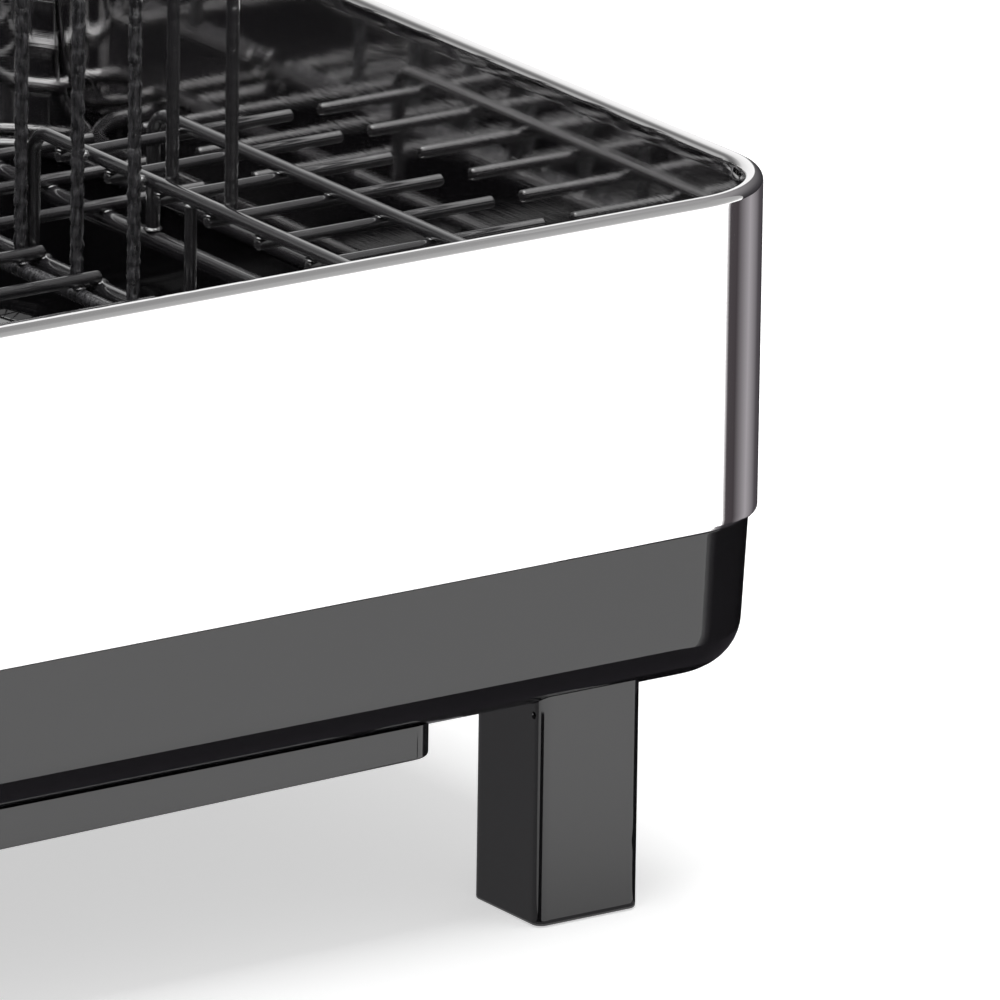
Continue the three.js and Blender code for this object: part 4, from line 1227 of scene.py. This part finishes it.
def flag(name, corners, material):
    """A card that only shows in what shines, as a photographer sets to shape an edge. Its glowing grey is a
    painted reflection, or painted shade where it stands for shadowed floor.
    """
    card = stage_sheet(name, corners, material)
    card.visible_camera = False
    card.visible_diffuse = False
    card.visible_transmission = False
    card.visible_shadow = False


def card_paint(name, stops, along="Y"):
    """Unlit card, painted in greys along one axis of the drainer, given as metres and hex greys."""
    material, tree = empty_material(name)
    place = add_node(tree, "ShaderNodeTexCoord").outputs["Object"]
    parts = add_node(tree, "ShaderNodeSeparateXYZ", {"Vector": place})
    low, high = stops[0][0], stops[-1][0]
    span = add_node(tree, "ShaderNodeMapRange", {
        "Value": parts.outputs[along], "From Min": low, "From Max": high,
    })
    ramp = add_node(tree, "ShaderNodeValToRGB", {"Fac": span.outputs["Result"]})
    while len(ramp.color_ramp.elements) < len(stops):
        ramp.color_ramp.elements.new(0.5)
    for element, (distance, grey) in zip(ramp.color_ramp.elements, stops):
        element.position = (distance - low) / (high - low)
        element.color = linear(grey)
    paint = add_node(tree, "ShaderNodeEmission", {"Color": ramp.outputs["Color"]})
    add_node(tree, "ShaderNodeOutputMaterial", {"Surface": paint.outputs[0]})
    return material


def plain_paint(name, grey):
    """Unlit card of one grey."""
    return card_paint(name, [(-1.0, grey), (1.0, grey)])


def seen_rays(tree):
    """1 for what the camera sees, straight or in what shines or lets light through, and 0 for lighting."""
    rays = add_node(tree, "ShaderNodeLightPath")
    mirrored = add_node(tree, "ShaderNodeMath", {
        0: rays.outputs["Is Glossy Ray"], 1: rays.outputs["Is Transmission Ray"],
    }, operation="MAXIMUM")
    return add_node(tree, "ShaderNodeMath", {
        0: rays.outputs["Is Camera Ray"], 1: mirrored.outputs[0],
    }, operation="MAXIMUM").outputs[0]


def pale_floor():
    """Matt white paper sweep. It shows as white where it is lit and keeps the drainer's shadow."""
    material, tree = empty_material("pale_paper_floor")
    paper = add_node(tree, "ShaderNodeBsdfDiffuse", {"Color": linear("#f0f0f0")})
    lift = add_node(tree, "ShaderNodeMath", {0: seen_rays(tree), 1: 0.55}, operation="MULTIPLY")
    glow = add_node(tree, "ShaderNodeEmission", {"Color": linear("#ffffff"), "Strength": lift.outputs[0]})
    both = add_node(tree, "ShaderNodeAddShader", {0: paper.outputs[0], 1: glow.outputs[0]})
    add_node(tree, "ShaderNodeOutputMaterial", {"Surface": both.outputs[0]})
    return material


FLOOR = 8.0
floor_corners = [(-FLOOR, -FLOOR, 0), (FLOOR, -FLOOR, 0), (FLOOR, FLOOR, 0), (-FLOOR, FLOOR, 0)]
stage_sheet("floor", floor_corners, pale_floor())

# Cards near the drainer, placed from its front face. They glow and show only in reflections, as painted
# reflections and painted shade on its edges
FRONT_Y = -HALF_DEPTH * MM
FLAT_CARD_Z = 0.001
FLAT_CARD_X = 0.235
TRAY_CARD_X = 0.262
END_CARD_X = 0.35
END_CARD_TOP = 0.14
RIM_CARD_X = END_CARD_X - 0.001
LEG_CARD_REACH = 0.03
LEG_CARD_FOOT = 0.0015
LEG_CARD_TOP = 0.043
LEG_CORNER_X = LEG_HALF_X + LEG_FLARE - LEG_ROUNDING
LEG_CORNER_Y = -(LEG_Y + LEG_HALF_Y - LEG_ROUNDING) * MM


def wall(x0, y0, x1, y1, low_z, high_z):
    """Corners of an upright card."""
    return [(x0, y0, low_z), (x1, y1, low_z), (x1, y1, high_z), (x0, y0, high_z)]


def flat_card(x0, y0, x1, y1):
    """Corners of a card that lies just over the floor."""
    return [(x, y, FLAT_CARD_Z) for x, y in ((x0, y0), (x1, y0), (x1, y1), (x0, y1))]


def ring_card(outer_inset, inner_inset, z):
    """Corners of a flat card that rings the drainer between two insets from its sides, in millimetres."""
    outer = inset_outline(outer_inset, BAND_CORNER - outer_inset)
    inner = inset_outline(inner_inset, BAND_CORNER - inner_inset)
    corners = []
    for i in range(len(outer)):
        j = (i + 1) % len(outer)
        corners += [(p.x * MM, p.y * MM, z * MM) for p in (outer[i], outer[j], inner[j], inner[i])]
    return corners


def corner_card(corner_x, turns):
    """A small upright card before a corner of the leg, at three compass angles, and the floor between."""
    foot = [(corner_x, LEG_CORNER_Y)]
    for angle in map(math.radians, turns):
        x, y = LEG_CARD_REACH * math.cos(angle), LEG_CARD_REACH * math.sin(angle)
        foot.append((corner_x + x, LEG_CORNER_Y + y))
    corners = [(x, y, LEG_CARD_FOOT) for x, y in foot]
    for start, end in zip(foot[1:], foot[2:]):
        corners += wall(*start, *end, 0.0, LEG_CARD_TOP)
    return corners


def stepped_card(x, tops):
    """Corners of an upright card along the drainer's end, whose top steps from height to height."""
    corners = []
    for (near_y, near_top), (far_y, far_top) in zip(tops, tops[1:]):
        corners += [(x, near_y, 0.0), (x, far_y, 0.0), (x, far_y, far_top), (x, near_y, near_top)]
    return corners


def from_face(values):
    """Values along y, such as greys or heights, whose places are given from the drainer's front face."""
    return [(FRONT_Y + past, value) for past, value in values]


# Painted reflections: greys that the band's corner, the tray's corner and the rim's corner reflect, with the
# heights of the tray card's top
end_shades = from_face([(-0.083, "#f0eeef"), (-0.071, "#4a4548"), (-0.04, "#443f42"), (0.01, "#a29ea2"),
                        (0.065, "#504c50"), (0.145, "#322e33"), (0.46, "#322e33")])
tray_shades = from_face([(-0.0425, "#f0f0f0"), (-0.034, "#8a888b"), (-0.024, "#3a383b"), (0.02, "#121012"),
                         (0.36, "#121012")])
tray_tops = from_face([(-0.0425, 0.0655), (-0.034, 0.07), (-0.0145, 0.0754), (0.0015, 0.0781),
                       (0.0145, 0.079), (0.36, 0.079)])
rim_shades = [(0.139, "#2a282b"), (0.19, "#4a484b"), (0.28, "#8a888a"), (0.45, "#a8a8a8")]
black = plain_paint("flag_black_painted_reflection", "#050505")
flag("end_flag", wall(END_CARD_X, end_shades[0][0], END_CARD_X, end_shades[-1][0], 0.0, END_CARD_TOP),
     card_paint("end_flag_painted_reflection", end_shades))
# Painted shade: a grey floor card that stands for the shadowed floor under the drainer in the legs' and
# tray's reflections
flag("under_flag", flat_card(-FLAT_CARD_X, FRONT_Y + 0.006, FLAT_CARD_X, 0.16),
     plain_paint("under_flag_painted_shade", "#8f8e90"))
# Painted dark reflections beside the tray's end and at the legs' corners
flag("side_flag", flat_card(FLAT_CARD_X, FRONT_Y - 0.028, TRAY_CARD_X, 0.2), black)
flag("leg_edge_flag", corner_card((LEG_X - LEG_CORNER_X) * MM, (208, 224, 240)), black)
flag("leg_side_flag", corner_card((LEG_X + LEG_CORNER_X) * MM, (319, 347, 375)), black)
# Painted shade: a dim ring under the tray's rounded lower edge that stands for the shadowed floor it would
# reflect
flag("edge_flag", ring_card(-2.0, 6.9, 56.5), plain_paint("dim_painted_shade", "#403d42"))
# Painted reflections on the tray's corner and the rim's corner
flag("tray_corner_flag", stepped_card(TRAY_CARD_X, tray_tops), card_paint("tray_corner_painted_reflection", tray_shades))
flag("rim_corner_flag",
     wall(RIM_CARD_X, FRONT_Y - 0.03, RIM_CARD_X, FRONT_Y + 0.15, rim_shades[0][0], rim_shades[-1][0]),
     card_paint("rim_corner_painted_reflection", rim_shades, "Z"))

# Room, seen only in reflections: painted reflections of a dark studio behind the camera, grey cards at the
# right and a bright window card behind the drainer
ROOM = 1.6
DARK_LOW = 0.28
DARK_TOP = 1.6
DARK_END_X = 0.4
GREY_TOP = 2.9
BACK_TOP = 2.0
grey_shades = [(0.0, "#f4f4f4"), (0.12, "#d4d4d4"), (0.3, "#b4b4b4"), (0.7, "#ababab"), (1.6, "#a5a5a5"),
               (2.2, "#989898"), (GREY_TOP, "#8b8b8b")]
back_shades = [(-ROOM, "#b9b9b9"), (-1.0, "#b0b0b0"), (-0.84, "#8c8c8c"), (-0.68, "#747474"),
               (-0.5, "#737373"), (-0.29, "#888888"), (0.0, "#b0b0b0"), (0.26, "#e0e0e0"),
               (0.9, "#f6f6f6"), (ROOM, "#fefefe")]
flag("dark_studio",
     wall(-ROOM, -ROOM, DARK_END_X, -ROOM, DARK_LOW, DARK_TOP)
     + wall(-ROOM, ROOM, -ROOM, -ROOM, DARK_LOW, DARK_TOP),
     plain_paint("studio_dark_painted_reflection", "#1c1c1d"))
flag("grey_studio",
     wall(DARK_END_X, -ROOM, ROOM, -ROOM, 0.0, GREY_TOP) + wall(ROOM, -ROOM, ROOM, ROOM, 0.0, GREY_TOP),
     card_paint("studio_grey_painted_reflection", grey_shades, "Z"))
flag("back_studio", wall(ROOM, ROOM, -ROOM, ROOM, 0.0, BACK_TOP), card_paint("studio_back_painted_reflection", back_shades, "X"))

world = bpy.data.worlds.new("white_room")
bpy.context.scene.world = world
world.use_nodes = True
sky = world.node_tree
sky.nodes.clear()
soft = add_node(sky, "ShaderNodeBackground", {"Color": linear("#ffffff"), "Strength": 0.45})
white = add_node(sky, "ShaderNodeBackground", {"Color": linear("#ffffff"), "Strength": 1.0})
blend = add_node(sky, "ShaderNodeMixShader", {0: seen_rays(sky), 1: soft.outputs[0], 2: white.outputs[0]})
add_node(sky, "ShaderNodeOutputWorld", {"Surface": blend.outputs[0]})


def softbox(name, place, target, width, height, power):
    """A rectangular lamp that is turned to a point."""
    lamp = bpy.data.lights.new(name, "AREA")
    lamp.shape = "RECTANGLE"
    lamp.size = width
    lamp.size_y = height
    lamp.energy = power
    made = bpy.data.objects.new(name, lamp)
    made.location = place
    made.rotation_euler = (Vector(target) - Vector(place)).to_track_quat("-Z", "Y").to_euler()
    bpy.context.scene.collection.objects.link(made)


softbox("overhead_softbox", place=(0.1, 0.1, 1.9), target=(0.1, -0.1, 0.0), width=1.8, height=1.8, power=30.0)

# Camera: a long lens from the front left, fitted to the photo's straight edges. The rim's near corner
# lies this far in millimetres to the right of the picture's middle, above it and away from the lens
TURN = math.radians(34.65)
TILT = math.radians(17.48)
ROLL = math.radians(0.843)
SIGHT_Z = 168.5
SIGHT_RIGHT = 71.07
SIGHT_ABOVE = 71.32
SIGHT_AWAY = 4581.8
LENS = 725.76
SENSOR = 36.0
forward = Vector((math.sin(TURN) * math.cos(TILT), math.cos(TURN) * math.cos(TILT), -math.sin(TILT)))
level_right = Vector((math.cos(TURN), -math.sin(TURN), 0.0))
level_up = level_right.cross(forward)
right = math.cos(ROLL) * level_right + math.sin(ROLL) * level_up
up = math.cos(ROLL) * level_up - math.sin(ROLL) * level_right
rim_corner = Vector((HALF_LENGTH, -HALF_DEPTH, SIGHT_Z)) * MM
camera = bpy.data.objects.new("camera", bpy.data.cameras.new("camera"))
camera.data.lens = LENS
camera.data.sensor_width = SENSOR
camera.data.clip_start = 0.1
camera.data.clip_end = 50.0
camera.location = rim_corner - (SIGHT_RIGHT * right + SIGHT_ABOVE * up + SIGHT_AWAY * forward) * MM
camera.rotation_mode = "QUATERNION"
camera.rotation_quaternion = Matrix((right, up, -forward)).transposed().to_quaternion()
bpy.context.scene.collection.objects.link(camera)
bpy.context.scene.camera = camera

bpy.context.scene.view_settings.view_transform = "Standard"
